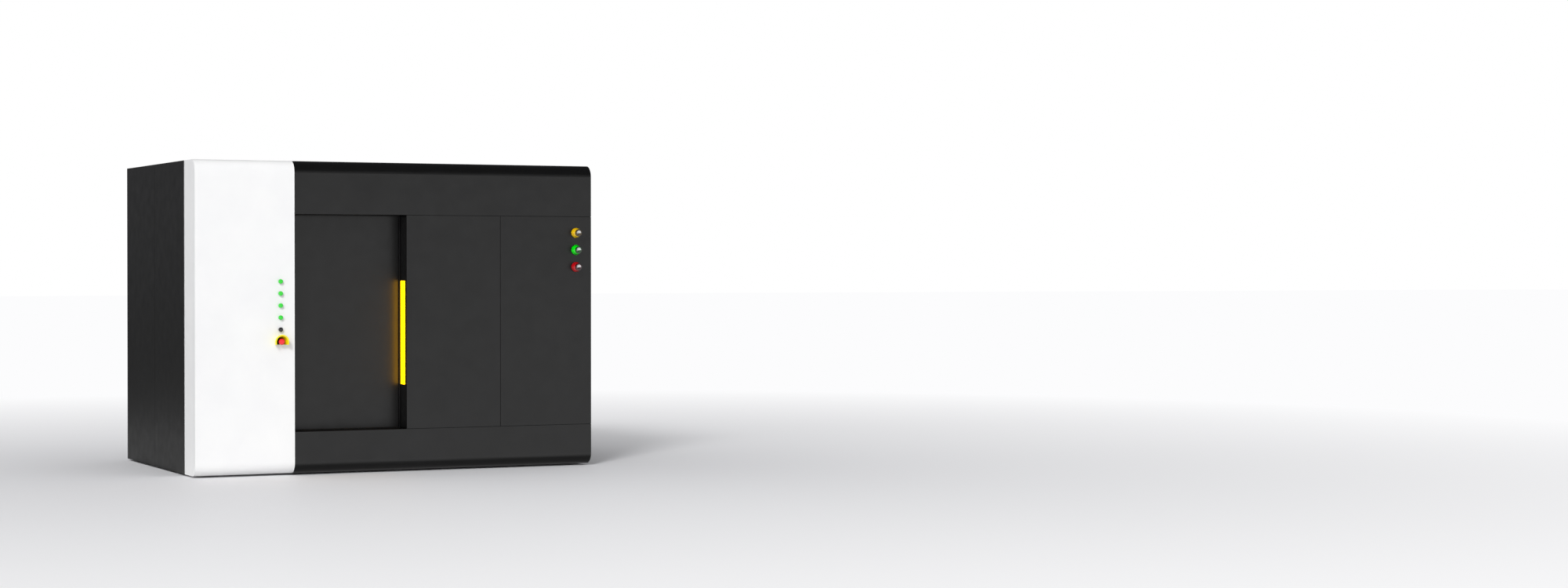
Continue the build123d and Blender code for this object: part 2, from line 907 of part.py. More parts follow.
def stop_guard():
    """Yellow guard on the z axis: an arch over the head, open below, on a thin plate."""
    arch = flared_arch(0, guard_depth, 0, guard_leg)
    arch -= flared_arch(guard_plate, guard_depth + 1, guard_wall, guard_leg + 1)
    arch = fillet(arch.faces().sort_by(Axis.Z)[-1].edges(), guard_edge)
    return arch - rod_z(barrel_radius, 0, 0, (-1, guard_plate + 1))


def stop_head():
    """Red mushroom head on its stem, on the z axis."""
    rim = mushroom_face - mushroom_height
    head = rod_z(mushroom_radius, 0, 0, (rim, mushroom_face))
    crown = head.edges().filter_by(GeomType.CIRCLE).sort_by(Axis.Z)[-1]
    head = fillet(crown, mushroom_height * 0.7)
    stem_end = -barrel_length + 2 * mushroom_travel + running_clearance
    return head + rod_z(stop_stem_radius, 0, 0, (stem_end, rim))


def on_front(shape, x, z):
    """Places a piece made on the z axis so that it points out of the front face, upright."""
    return Plane(origin=(x, 0, z), x_dir=(1, 0, 0), z_dir=(0, -1, 0)) * shape


def on_right(shape, y, z):
    """Places a piece made on the z axis so that it points out of the right side, upright."""
    return Plane(origin=(cabinet_width, y, z), x_dir=(0, 1, 0), z_dir=(1, 0, 0)) * shape


def both_stops(shape):
    """The same piece at the front stop and at the side stop."""
    return [on_front(shape, device_x, estop_height),
            on_right(shape, side_stop_setback, estop_height)]


def lamp_heights():
    """Heights of the three signal lamps, from the top down."""
    return [lamp_top - lamp_pitch * step for step in range(3)]


def signal_lamp(height):
    """Signal lamp: a domed base, a groove, and a smaller tip with a hollow face."""
    tip_start = lamp_height - lamp_tip_length
    lens = turned([
        (0, -cover_sheet), (lamp_stem_radius, -cover_sheet), (lamp_stem_radius, lamp_gasket),
        (lamp_radius, lamp_gasket), (lamp_radius, lamp_base_height),
        (lamp_shoulder_radius, lamp_shoulder_height), (lamp_groove_radius, lamp_groove_height),
        (lamp_groove_radius, tip_start - lamp_edge_radius), (lamp_tip_radius, tip_start),
        (lamp_tip_radius, lamp_height - lamp_edge_radius),
        (lamp_tip_radius - lamp_edge_radius, lamp_height), (0, lamp_height),
    ])
    cup = Pos(0, 0, lamp_height - lamp_cup_depth) * Cone(
        lamp_cup_radius / 2, lamp_cup_radius, lamp_cup_depth,
        align=(Align.CENTER, Align.CENTER, Align.MIN))
    lens = fillet(lens.edges().filter_by(GeomType.CIRCLE).filter_by(
        lambda edge: abs(edge.center().Z - lamp_base_height) < 0.01), lamp_edge_radius * 2)
    return on_front(lens - cup, lamp_x, height)


def lamp_socket(height):
    """Gasket under a lamp, and its socket behind the cover."""
    gasket = rod_z(lamp_radius - 2.0, 0, 0, (0, lamp_gasket)) - rod_z(
        lamp_stem_radius, 0, 0, (-1, lamp_gasket + 1))
    socket = rod_z(2 * lamp_stem_radius, 0, 0, (-barrel_length, -cover_sheet))
    return [on_front(gasket, lamp_x, height), on_front(socket, lamp_x, height)]


def device_bodies():
    """Black bodies of the push buttons, stops, lamps and the door interlock."""
    bodies = [button_body(height) for height in button_heights()]
    bodies += both_stops(stop_unit())
    for height in lamp_heights():
        bodies += lamp_socket(height)
    bodies.append(interlock_switch())
    return group(bodies)


# Service doors, hinges, ventilation and latch

leaf_split = (leaf_front + leaf_rear) / 2
hinge_axis_x = cabinet_width + hinge_radius


def leaf_spans():
    """Front and rear edge of each service door."""
    return ((leaf_front, leaf_split - leaf_gap / 2), (leaf_split + leaf_gap / 2, leaf_rear))


def hinge_lines():
    """Depth of the hinge axis of the front and of the rear leaf, in their gaps."""
    return (leaf_front - leaf_gap / 2, leaf_rear + leaf_gap / 2)


def hinge_half(axis_y, side, height, length, lift):
    """One half of a hinge: a plate on the side of the machine and a knuckle on the axis."""
    z = around(height + lift, length)
    near = axis_y + side * hinge_plate_gap
    far = axis_y + side * (hinge_plate_gap + hinge_plate_width)
    plate = block((cabinet_width, cabinet_width + hinge_plate), (near, far), z)
    neck = block((cabinet_width, hinge_axis_x), (axis_y, near), z)
    neck &= block((cabinet_width + 0.5, cabinet_width + hinge_plate), (axis_y, near), z)
    return plate + neck + rod_z(hinge_radius - 0.5, hinge_axis_x, axis_y, z)


def service_leaf(span, axis_y, side):
    """Service door: folded tray with vent cut-outs and three welded hinge knuckles."""
    body = tray_x(cabinet_width, cabinet_width - leaf_fold, span, (leaf_bottom, leaf_top),
                  service_sheet)
    middle = sum(span) / 2
    for width, height, level in ((hood_width, hood_height, hood_centre),
                                 (grille_width, grille_height, grille_centre)):
        body -= block((cabinet_width - service_sheet - 1, cabinet_width + 1),
                      around(middle, width - 2 * slot_margin),
                      around(level, height - 2 * slot_margin))
    third = hinge_length / 3
    for height in hinge_heights:
        for end in (-1, 1):
            half = hinge_half(axis_y, side, height, third - hinge_knuckle_gap, end * third)
            body += half - rod_z(hinge_pin_radius + hinge_pin_clearance, hinge_axis_x, axis_y,
                                 around(height, hinge_length + 2))
    return body


def latch_place():
    """Depth of the latch spindle, near the free edge of the front leaf."""
    return leaf_spans()[0][1] - latch_edge


def service_door_front():
    """Front service door, with the plate and the hole of the latch."""
    body = service_leaf(leaf_spans()[0], hinge_lines()[0], 1)
    body += block((cabinet_width, cabinet_width + escutcheon_thickness),
                  around(latch_place(), escutcheon_width),
                  around(latch_height, escutcheon_height))
    return body - rod_x(spindle_radius + spindle_clearance,
                        (cabinet_width - leaf_fold, cabinet_width + escutcheon_thickness + 1),
                        latch_place(), latch_height)


def service_door_rear():
    """Rear service door."""
    return service_leaf(leaf_spans()[1], hinge_lines()[1], -1)


def service_hinges():
    """Fixed halves of the six hinges, with their pins."""
    pieces = []
    third = hinge_length / 3
    for axis_y, side in zip(hinge_lines(), (-1, 1)):
        for height in hinge_heights:
            half = hinge_half(axis_y, side, height, third - hinge_knuckle_gap, 0)
            pin = rod_z(hinge_pin_radius, hinge_axis_x, axis_y, around(height, hinge_length))
            pieces.append(half + pin)
    return group(pieces)


def latch_lever():
    """Lever, spindle and locking tongue of the service doors."""
    y, z = latch_place(), latch_height
    face = cabinet_width + escutcheon_thickness + running_clearance
    boss = rod_x(lever_boss_radius, (face, face + lever_boss_height), y, z)
    arm_x = (face + lever_boss_height - lever_thickness / 2, face + lever_boss_height
             + lever_thickness / 2)
    arm = block(arm_x, around(y, lever_width), (z - lever_length, z + lever_boss_radius))
    arm = fillet(arm.edges().filter_by(Axis.X), lever_width * 0.4)
    tongue_right = cabinet_width - leaf_fold - tongue_gap
    tongue_x = (tongue_right - tongue_thickness, tongue_right)
    spindle = rod_x(spindle_radius, (tongue_x[0], face + lever_boss_height), y, z)
    tongue = block(tongue_x, around(y, tongue_width), (z - tongue_width / 2, z + tongue_length))
    return boss + arm + spindle + tongue


def louvred_box(width, height, depth, corner, slots):
    """Vent housing facing along z: a shallow box, open behind, with level slots in front."""
    body = block(around(0, width), around(0, height), (0, depth))
    body = fillet(body.edges().filter_by(Axis.Z), corner)
    body = chamfer(body.faces().sort_by(Axis.Z)[-1].edges(), corner / 2)
    body -= block(around(0, width - 2 * hood_wall), around(0, height - 2 * hood_wall),
                  (-1, depth - hood_wall))
    pitch = (height - 2 * slot_margin) / slots
    for index in range(slots):
        level = -height / 2 + slot_margin + pitch * (index + 0.5)
        body -= block(around(0, width - 2 * slot_margin), around(level, pitch * slot_share),
                      (depth - hood_wall - 1, depth + 1))
    return body


def fan_frame():
    """Square fan frame behind the hood, facing along z, with the motor on four arms."""
    back = -service_sheet - fan_frame_depth
    body = block(around(0, fan_frame_size), around(0, fan_frame_size), (back, -service_sheet))
    body = fillet(body.edges().filter_by(Axis.Z), hood_corner)
    body -= rod_z(fan_bore_radius, 0, 0, (back - 1, 1))
    arm_z = (back, back + fan_arm_depth)
    reach = 2 * fan_bore_radius + 2
    body += block(around(0, reach), around(0, fan_arm_width), arm_z)
    body += block(around(0, fan_arm_width), around(0, reach), arm_z)
    body += rod_z(fan_motor_radius, 0, 0, arm_z)
    return body + rod_z(fan_axle_radius, 0, 0, (arm_z[1], -service_sheet - fan_arm_depth))


def fan_rotor_shape():
    """Fan rotor facing along z: a hub and its pitched blades."""
    low = -service_sheet - fan_frame_depth + fan_arm_depth + 1.0
    span = (low, low + fan_hub_depth)
    hub = rod_z(fan_hub_radius, 0, 0, span)
    reach = fan_rotor_radius - fan_hub_radius + 6
    blade = Box(reach, fan_hub_depth * 1.2, fan_blade_thickness,
                align=(Align.MIN, Align.CENTER, Align.CENTER))
    blade = Pos(fan_hub_radius - 4, 0, sum(span) / 2) * Rot(fan_blade_pitch, 0, 0) * blade
    for index in range(fan_blades):
        hub += Rot(0, 0, 360 / fan_blades * index) * blade
    hub &= rod_z(fan_rotor_radius, 0, 0, span)
    return hub - rod_z(fan_axle_radius + fan_axle_clearance, 0, 0, (span[0] - 1, span[1] + 1))


def leaf_vents(span):
    """Exhaust hood with its fan frame, and intake grille, of one service door."""
    middle = sum(span) / 2
    hood = louvred_box(hood_width, hood_height, hood_depth, hood_corner, hood_slots)
    grille = louvred_box(grille_width, grille_height, grille_depth, grille_corner, grille_slots)
    return group([on_right(hood, middle, hood_centre),
                  on_right(fan_frame(), middle, hood_centre),
                  on_right(grille, middle, grille_centre)])


def fan_rotor(span):
    """Rotor of the exhaust fan of one service door."""
    return on_right(fan_rotor_shape(), sum(span) / 2, hood_centre)


# Measuring machine: bed, axes, turntable, x-ray tube and detector

def machine_bed():
    """Granite bed with bevelled edges."""
    bed = block((bed_left, bed_right), (bed_front, bed_back), (bed_bottom, bed_top))
    return chamfer(bed.edges(), bed_chamfer)


def bed_mounts():
    """Rubber mounts that carry the bed on the floor of the cabin."""
    mount = turned([
        (0, 0), (mount_radius, 0), (mount_radius - 8, mount_height / 2),
        (mount_radius, mount_height), (0, mount_height),
    ])
    return group([Pos(x, y, inside_bottom) * mount
                  for x in spread(bed_left + mount_inset, bed_right - mount_inset, 3)
                  for y in (bed_front + mount_inset, bed_back - mount_inset)])


def rail_bar(length):
    """Profiled guide rail along z, standing on the plane y = 0 and rising along -y."""
    half, waist = rail_width / 2, rail_waist / 2
    head = rail_section_height - rail_head
    outline = [(-half, 0), (half, 0), (half, -5), (waist, -9), (waist, -head + 3), (half, -head),
               (half, -rail_section_height + 2), (half - 2, -rail_section_height),
               (-half + 2, -rail_section_height), (-half, -rail_section_height + 2),
               (-half, -head), (-waist, -head + 3), (-waist, -9), (-half, -5)]
    return extrude(make_face(Polyline(*outline, close=True)), length, dir=(0, 0, 1))


def guide_block():
    """Guide block around a rail along z: it clears the rail and rises along -y."""
    body = block(around(0, block_width), (-block_standoff - block_height, -block_standoff),
                 around(0, block_length))
    slot = block(around(0, rail_width + 2 * block_clearance),
                 (-rail_section_height - block_clearance, 1), around(0, block_length + 2))
    return body - slot


def on_bed(shape, x, y):
    """Turns a piece made for an upright rail so that it lies along x on the bed."""
    return Plane(origin=(x, y, bed_top), x_dir=(0, -1, 0), z_dir=(1, 0, 0)) * shape


def x_rail_lines():
    """Depth of the two rails of the table."""
    return around(beam_line_depth, x_rail_spread)


def linear_rails():
    """Guide rails on the bed and on both columns, and the magnet tracks of the two lifts."""
    rails = [on_bed(rail_bar(x_rail_length), x_rail_left, y) for y in x_rail_lines()]
    foot = bed_top + column_rail_foot
    for middle in (source_column_middle, detector_column_middle):
        for x in around(middle, column_rail_spread):
            rails.append(Pos(x, column_face, foot) * rail_bar(column_rail_length))
        rails.append(block(around(middle, magnet_track_width),
                           (column_face - magnet_track_thickness, column_face),
                           (foot, foot + column_rail_length)))
    return group(rails)


def table_carriage():
    """Table plate, its four guide blocks and the nut of the screw."""
    pieces = [block(around(table_rest, table_length), around(beam_line_depth, table_width),
                    (table_plate_bottom, table_plate_top))]
    offset = (table_length - block_length) / 2
    for y in x_rail_lines():
        for x in (table_rest - offset, table_rest + offset):
            pieces.append(on_bed(guide_block(), x, y))
    nut = block(around(table_rest, nut_length), around(beam_line_depth, bearing_size),
                (bed_top + block_standoff, table_plate_bottom))
    nut -= rod_x(screw_radius + block_clearance, around(table_rest, nut_length + 2),
                 beam_line_depth, screw_height)
    pieces.append(nut)
    return group(pieces)


def screw_ends():
    """Inner faces of the two screw bearings."""
    return (x_rail_left - screw_overhang, x_rail_left + x_rail_length + screw_overhang)


def ball_screw():
    """Screw that moves the table."""
    left, right = screw_ends()
    return rod_x(screw_radius, (left - bearing_length / 2, right + bearing_length / 2),
                 beam_line_depth, screw_height)


def axis_motor():
    """Two screw bearings and the servo motor at the right end."""
    left, right = screw_ends()
    z = (bed_top, bed_top + bearing_size)
    y = around(beam_line_depth, bearing_size)
    bore = rod_x(screw_radius + spigot_clearance,
                 (left - bearing_length / 2, right + bearing_length / 2),
                 beam_line_depth, screw_height)
    bearings = [block((left - bearing_length, left), y, z) - bore,
                block((right, right + bearing_length), y, z) - bore]
    motor_left = right + bearing_length
    motor = block((motor_left, motor_left + axis_motor_length),
                  around(beam_line_depth, axis_motor_size), (bed_top, bed_top + axis_motor_size))
    motor = fillet(motor.edges().filter_by(Axis.X), 10)
    return group(bearings + [motor])


def turntable_base():
    """Housing of the turntable on its square flange, with the bore of the spindle."""
    flange = block(around(table_rest, turntable_flange), around(beam_line_depth, turntable_flange),
                   (table_plate_top, table_plate_top + turntable_flange_height))
    flange = fillet(flange.edges().filter_by(Axis.Z), 20)
    drum = rod_z(turntable_radius, table_rest, beam_line_depth, (table_plate_top, turntable_top))
    drum = chamfer(drum.edges().filter_by(GeomType.CIRCLE).sort_by(Axis.Z)[-1], 4)
    bore = rod_z(spigot_radius + spigot_clearance, table_rest, beam_line_depth,
                 (turntable_top - spigot_length - 2, turntable_top + 1))
    return flange + drum - bore


def turntable_platter():
    """Turning platter with its spigot, centre bore and circle of fixing holes."""
    body = rod_z(platter_radius, 0, 0, (0, platter_thickness))
    body = chamfer(body.edges().filter_by(GeomType.CIRCLE), 2)
    body += rod_z(spigot_radius, 0, 0, (-platter_gap - spigot_length, 0))
    body -= rod_z(platter_bore_radius, 0, 0,
                  (-platter_gap - spigot_length - 1, platter_thickness + 1))
    for index in range(platter_hole_count):
        angle = 2 * math.pi * index / platter_hole_count
        x = platter_hole_circle / 2 * math.cos(angle)
        y = platter_hole_circle / 2 * math.sin(angle)
        body -= rod_z(platter_hole_radius, x, y, (-1, platter_thickness + 1))
    return Pos(table_rest, beam_line_depth, platter_bottom) * body


def axis_columns():
    """Granite columns of the x-ray tube and of the detector."""
    columns = []
    for left in (source_column_left, detector_column_left):
        column = block((left, left + column_width_inside),
                       (column_face, column_face + column_depth_inside),
                       (bed_top, bed_top + column_height))
        columns.append(chamfer(column.edges().filter_by(Axis.Z), column_chamfer))
    return group(columns)


def lift_carriage(middle):
    """Lift plate with four guide blocks and the motor coil, on the rails of one column."""
    pieces = [block(around(middle, lift_plate_width), (lift_plate_front, lift_plate_back),
                    around(beam_line_height, lift_plate_height))]
    coil_face = column_face - magnet_track_thickness - motor_air_gap
    pieces.append(block(around(middle, magnet_track_width), (lift_plate_back, coil_face),
                        around(beam_line_height, lift_plate_height)))
    offset = (lift_plate_height - block_length) / 2
    for x in around(middle, column_rail_spread):
        for z in (beam_line_height - offset, beam_line_height + offset):
            pieces.append(Pos(x, column_face, z) * guide_block())
    return pieces


def tube_clamp(x):
    """Ring clamp that holds the x-ray tube in front of its lift plate."""
    span = around(x, clamp_width)
    ring = rod_x(tube_radius + clamp_wall, span, beam_line_depth, beam_line_height)
    foot = block(span, (beam_line_depth, lift_plate_front),
                 around(beam_line_height, 2 * clamp_wall + tube_radius))
    bore = rod_x(tube_radius + tube_clearance, (span[0] - 1, span[1] + 1), beam_line_depth,
                 beam_line_height)
    return ring + foot - bore


def source_carriage():
    """Lift carriage of the x-ray tube, with its two ring clamps."""
    clamps = [tube_clamp(x) for x in around(source_column_middle, clamp_spread)]
    return group(lift_carriage(source_column_middle) + clamps)


def xray_tube():
    """X-ray tube along x: cap, ribbed body, cone, target head and window."""
    body_start = tube_cap_length
    cone_start = body_start + tube_body_length
    head_start = cone_start + tube_cone_length
    window_start = head_start + tube_head_length
    outline = [
        (0, 0), (tube_cap_radius, 0), (tube_cap_radius, body_start), (tube_radius, body_start),
        (tube_radius, cone_start), (tube_head_radius, head_start),
        (tube_head_radius, window_start), (tube_window_radius, window_start),
        (tube_window_radius, window_start + tube_window_depth),
        (0, window_start + tube_window_depth),
    ]
    tube = turned(outline)
    middle = body_start + tube_body_length / 2
    for offset in spread(-1, 1, tube_ring_count):
        level = middle + offset * (clamp_spread / 2 - clamp_width)
        ring = rod_z(tube_radius + 1, 0, 0, around(level, tube_ring_width))
        tube -= ring - rod_z(tube_radius - tube_ring_depth, 0, 0,
                             around(level, tube_ring_width + 2))
    return Pos(tube_left, beam_line_depth, beam_line_height) * Rot(0, 90, 0) * tube


def detector_place():
    """Face and back of the detector, along the beam."""
    left = detector_column_left + detector_inset
    return (left, left + detector_thickness)


def detector_carriage():
    """Lift carriage of the detector, with the bracket that reaches forward to it."""
    bracket_left = detector_place()[1]
    x = (bracket_left, bracket_left + bracket_thickness)
    arm = block(x, (beam_line_depth - detector_size / 2, lift_plate_front),
                around(beam_line_height, bracket_height))
    half = bracket_height / 2
    gusset = make_face(Polyline(
        (x[1], lift_plate_front, beam_line_height - half),
        (x[1] + gusset_reach, lift_plate_front, beam_line_height - half),
        (x[1], lift_plate_front - gusset_reach, beam_line_height - half), close=True))
    gusset = extrude(gusset, bracket_thickness, dir=(0, 0, 1))
    upper = Pos(0, 0, bracket_height - bracket_thickness) * gusset
    return group(lift_carriage(detector_column_middle) + [arm + gusset + upper])


def detector_housing():
    """Flat-panel detector, facing the tube, with its sunk window."""
    size = around(0, detector_size)
    face, back = detector_place()
    body = block((face, back), size, size)
    body = fillet(body.edges().filter_by(Axis.X), detector_corner)
    window = around(0, detector_window_size)
    body -= block((face - 1, face + detector_window_depth), window, window)
    return Pos(0, beam_line_depth, beam_line_height) * body


# Equipment behind the service doors

def mounting_plate():
    """Upright plate for the control gear, on four spacers from the partition."""
    left = partition_right + plate_gap
    y = (inside_front + plate_margin, inside_back - plate_margin)
    z = (inside_bottom + plate_bottom_gap, inside_top - plate_margin)
    pieces = [block((left, left + plate_thickness), y, z)]
    for depth in (y[0] + plate_margin, y[1] - plate_margin):
        for level in (z[0] + plate_margin, z[1] - plate_margin):
            pieces.append(rod_x(foot_stem_radius, (partition_right, left), depth, level))
    return group(pieces)


def control_modules():
    """Power supplies, drives and controllers in rows, each row over a wiring duct."""
    left = partition_right + plate_gap + plate_thickness
    low = inside_front + plate_margin + plate_margin
    high = inside_back - plate_margin - plate_margin
    base = inside_bottom + plate_bottom_gap + plate_margin
    rows = int((inside_top - plate_margin - base) // module_row_pitch)
    pieces = []
    for row in range(rows):
        duct_bottom = base + row * module_row_pitch
        pieces.append(block((left, left + duct_width), (low, high),
                            (duct_bottom, duct_bottom + duct_width)))
        level = duct_bottom + duct_width + duct_gap
        count = 4 + 2 * (row % 2)
        width = (high - low) / count
        for index in range(count):
            reach = module_reach + module_reach_step * ((index + row) % 3)
            pieces.append(block((left, left + reach),
                                around(low + width * (index + 0.5), width - module_margin),
                                (level, level + module_height)))
    return group(pieces)


def hv_generator():
    """High-voltage generator on the floor of the equipment compartment."""
    x = around((partition_right + cabin_right) / 2, generator_width)
    front = inside_front + generator_front_gap
    top = inside_bottom + generator_height
    body = block(x, (front, front + generator_depth), (inside_bottom, top))
    body = fillet(body.edges().filter_by(Axis.Z), edge_radius_small)
    for share in (1 / 3, 2 / 3):
        body += rod_z(generator_socket_radius, sum(x) / 2, front + generator_depth * share,
                      (top, top + generator_socket_height))
    return body


# All pieces by name, moved to the shared frame and written out

front_leaf, rear_leaf = leaf_spans()
buttons = button_heights()
lamps = lamp_heights()
front_head, side_head = both_stops(stop_head())
hangers = hanger_places()

pieces = {
    "levelling_feet": levelling_feet(),
    "base_beams": base_beams(),
    "cabin_floor": cabin_slab((cabin_bottom, inside_bottom)),
    "cabin_roof": cabin_slab((inside_top, cabin_top)),
    "cabin_front_wall": cabin_front_wall(),
    "cabin_rear_wall": cabin_rear_wall(),
    "cabin_side_walls": cabin_side_walls(),
    "door_leaf": door_leaf(),
    "door_hangers": door_hangers(),
    "door_roller_left": door_roller(hangers[0]),
    "door_roller_right": door_roller(hangers[1]),
    "door_tracks": door_tracks(),
    "door_drive": door_drive(),
    "control_column": control_column(),
    "upper_fascia": upper_fascia(),
    "lower_fascia": lower_fascia(),
    "pocket_cover": pocket_cover(),
    "lamp_cover": lamp_cover(),
    "cover_seals": cover_seals(),
    "light_strip": light_strip(),
    "left_side_panels": left_side_panels(),
    "rear_panels": rear_panels(),
    "roof_panels": roof_panels(),
    "side_frame": side_frame(),
    "device_bodies": device_bodies(),
    "estop_guards": group(both_stops(stop_guard())),
    "estop_head_front": front_head,
    "estop_head_side": side_head,
    "signal_lamp_amber": signal_lamp(lamps[0]),
    "signal_lamp_green": signal_lamp(lamps[1]),
    "signal_lamp_red": signal_lamp(lamps[2]),
    "service_door_front": service_door_front(),
    "service_door_rear": service_door_rear(),
    "service_hinges": service_hinges(),
    "vents_front": leaf_vents(front_leaf),
    "vents_rear": leaf_vents(rear_leaf),
    "fan_rotor_front": fan_rotor(front_leaf),
    "fan_rotor_rear": fan_rotor(rear_leaf),
    "latch_lever": latch_lever(),
    "machine_bed": machine_bed(),
    "bed_mounts": bed_mounts(),
    "linear_rails": linear_rails(),
    "axis_columns": axis_columns(),
    "axis_motor": axis_motor(),
    "ball_screw": ball_screw(),
    "table_carriage": table_carriage(),
    "turntable_base": turntable_base(),
    "turntable_platter": turntable_platter(),
    "source_carriage": source_carriage(),
    "xray_tube": xray_tube(),
    "detector_carriage": detector_carriage(),
    "detector_housing": detector_housing(),
    "mounting_plate": mounting_plate(),
    "control_modules": control_modules(),
    "hv_generator": hv_generator(),
}
for number, height in enumerate(buttons[:-1], start=1):
    pieces[f"green_button_{number}"] = button_cap(height)
pieces["black_button"] = button_cap(buttons[-1])

front_overhang = max(lamp_height, guard_depth)
side_overhang = guard_depth
frame_shift = Pos(-(cabinet_width + side_overhang) / 2,
                  -(cabinet_depth - front_overhang) / 2, 0)

os.makedirs("parts", exist_ok=True)
for name, piece in pieces.items():
    export_step(frame_shift * piece, f"parts/{name}.step")
print(len(pieces), "pieces")
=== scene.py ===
# %% [markdown]
# # Dressing an industrial CT scanner
#
# The machine is a steel cabinet as large as a small van: a white control column, dark flush
# covers, a recessed sliding door, and behind it a granite measuring machine with an x-ray tube, a
# turntable and a detector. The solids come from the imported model, in metres. The cells below give
# them light, finishes and the small parts that a solid model leaves out.

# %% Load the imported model
import json
import math

import bmesh
import bpy
from mathutils import Matrix, Vector


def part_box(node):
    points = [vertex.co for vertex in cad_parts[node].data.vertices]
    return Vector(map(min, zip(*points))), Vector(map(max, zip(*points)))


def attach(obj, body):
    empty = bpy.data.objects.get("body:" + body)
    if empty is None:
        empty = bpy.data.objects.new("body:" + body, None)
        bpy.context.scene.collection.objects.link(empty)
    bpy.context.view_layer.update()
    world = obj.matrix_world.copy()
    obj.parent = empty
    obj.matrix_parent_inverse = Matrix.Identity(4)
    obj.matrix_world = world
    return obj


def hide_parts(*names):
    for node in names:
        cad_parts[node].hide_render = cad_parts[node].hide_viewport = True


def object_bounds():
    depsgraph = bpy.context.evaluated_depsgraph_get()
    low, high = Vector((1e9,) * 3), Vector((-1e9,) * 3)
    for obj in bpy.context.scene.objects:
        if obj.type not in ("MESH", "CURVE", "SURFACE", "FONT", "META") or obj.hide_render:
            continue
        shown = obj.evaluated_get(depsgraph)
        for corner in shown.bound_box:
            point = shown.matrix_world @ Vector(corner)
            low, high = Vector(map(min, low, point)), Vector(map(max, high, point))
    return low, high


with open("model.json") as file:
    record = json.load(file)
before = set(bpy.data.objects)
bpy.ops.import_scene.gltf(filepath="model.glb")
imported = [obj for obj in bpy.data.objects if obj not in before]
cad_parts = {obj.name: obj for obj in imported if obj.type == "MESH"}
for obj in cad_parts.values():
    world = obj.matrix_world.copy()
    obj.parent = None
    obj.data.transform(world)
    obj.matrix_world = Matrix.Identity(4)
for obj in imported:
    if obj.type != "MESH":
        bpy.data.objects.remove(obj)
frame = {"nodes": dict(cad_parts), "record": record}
cad_low, cad_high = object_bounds()
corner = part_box("control_column")[0]
print("solids:", len(frame["nodes"]), "size in metres:", [round(v, 3) for v in cad_high - cad_low])


def at(x, y, z):
    """A point in millimetres from the left front corner of the cabinet, given in metres."""
    return Vector((corner.x + x / 1000, corner.y + y / 1000, z / 1000))


# %% [markdown]
# ## Camera
#
# The photograph was taken from the left, a little below the height of the eyes and far away, so
# that the upright edges stay upright and the left side shows as a narrow dark strip. A long lens
# gives that. The place and the turn were found from the corners and seams of the cabinet.

# %% Camera
sensor_mm, focal_px, picture_px = 36.0, 3438.65, 2000.0
camera_spot = at(-4407, -17541, 1380)
camera_turn, camera_dip = 0.4613, 0.0094  # in radians


def heading(turn, dip):
    """The direction that is turned to the right of straight back and dips below level."""
    return Vector((math.sin(turn) * math.cos(dip), math.cos(turn) * math.cos(dip), -math.sin(dip)))


def put(name, data, spot=(0, 0, 0), way=None):
    """Links a new object, which looks along a direction if one is given."""
    item = bpy.data.objects.new(name, data)
    item.location = spot
    if way:
        item.rotation_euler = way.to_track_quat("-Z", "Y").to_euler()
    bpy.context.scene.collection.objects.link(item)
    return item


camera_data = bpy.data.cameras.new("camera")
camera_data.sensor_width = sensor_mm
camera_data.lens = sensor_mm * focal_px / picture_px
camera_data.clip_end = 400.0
camera = put("camera", camera_data, camera_spot, heading(camera_turn, camera_dip))
bpy.context.scene.camera = camera
bpy.context.scene.view_settings.view_transform = "Standard"
print("lens in mm:", round(camera_data.lens, 2))


# %% [markdown]
# ## Helpers for every node tree
#
# Colours are given as hex values on a screen, but a shader counts in linear light, so one
# function converts them. Another adds any kind of node with its options and its links, so that
# each finish below is short enough to read as a recipe. A socket can be fed with a value, with an
# output, or with a whole node, which then gives its first output. Options are named in small
# letters, sockets by their number or their name.

# %% Colour and node helpers
def tint(code):
    """Linear colour of a hex colour."""
    parts = [int(code[i:i + 2], 16) / 255 for i in (1, 3, 5)]
    return [c / 12.92 if c <= 0.04045 else ((c + 0.055) / 1.055) ** 2.4 for c in parts] + [1.0]


def feed(node, *values, more=(), **named):
    """Feeds sockets in their order, then those given by number in more, then those by name."""
    names = {name.replace("_", " "): value for name, value in named.items()}
    for key, value in (*enumerate(values), *dict(more).items(), *names.items()):
        if isinstance(value, bpy.types.Node):
            value = value.outputs[0]
        if isinstance(value, bpy.types.NodeSocket):
            node.id_data.links.new(value, node.inputs[key])
        else:
            node.inputs[key].default_value = value


def add(home, kind, *values, more=(), **named):
    """Adds one node to a tree, or beside a node or socket of it: small names are its options."""
    node = home.id_data.nodes.new(kind)
    for name in [name for name in named if name.islower()]:
        setattr(node, name, named.pop(name))
    feed(node, *values, more=more, **named)
    return node


def fresh(owner):
    """The emptied node tree of a new world or material."""
    owner.use_nodes = True
    owner.node_tree.nodes.clear()
    return owner.node_tree


print("mid grey in linear light:", round(tint("#808080")[0], 3))

# %% [markdown]
# ## Studio
#
# Glossy black paint shows little colour of its own: what the eye sees is the room. The front of
# the machine mirrors a bright low band in front of it, while the rounded top edge looks up at a
# darker ceiling and turns almost black, and the left side looks back into a dim part of the room.
# A plain dome of one brightness would lose all three, so the world has a band: white for the
# camera, and for mirrored rays bright low in front, dim above and behind. Diffuse light gets an
# even, plain level.

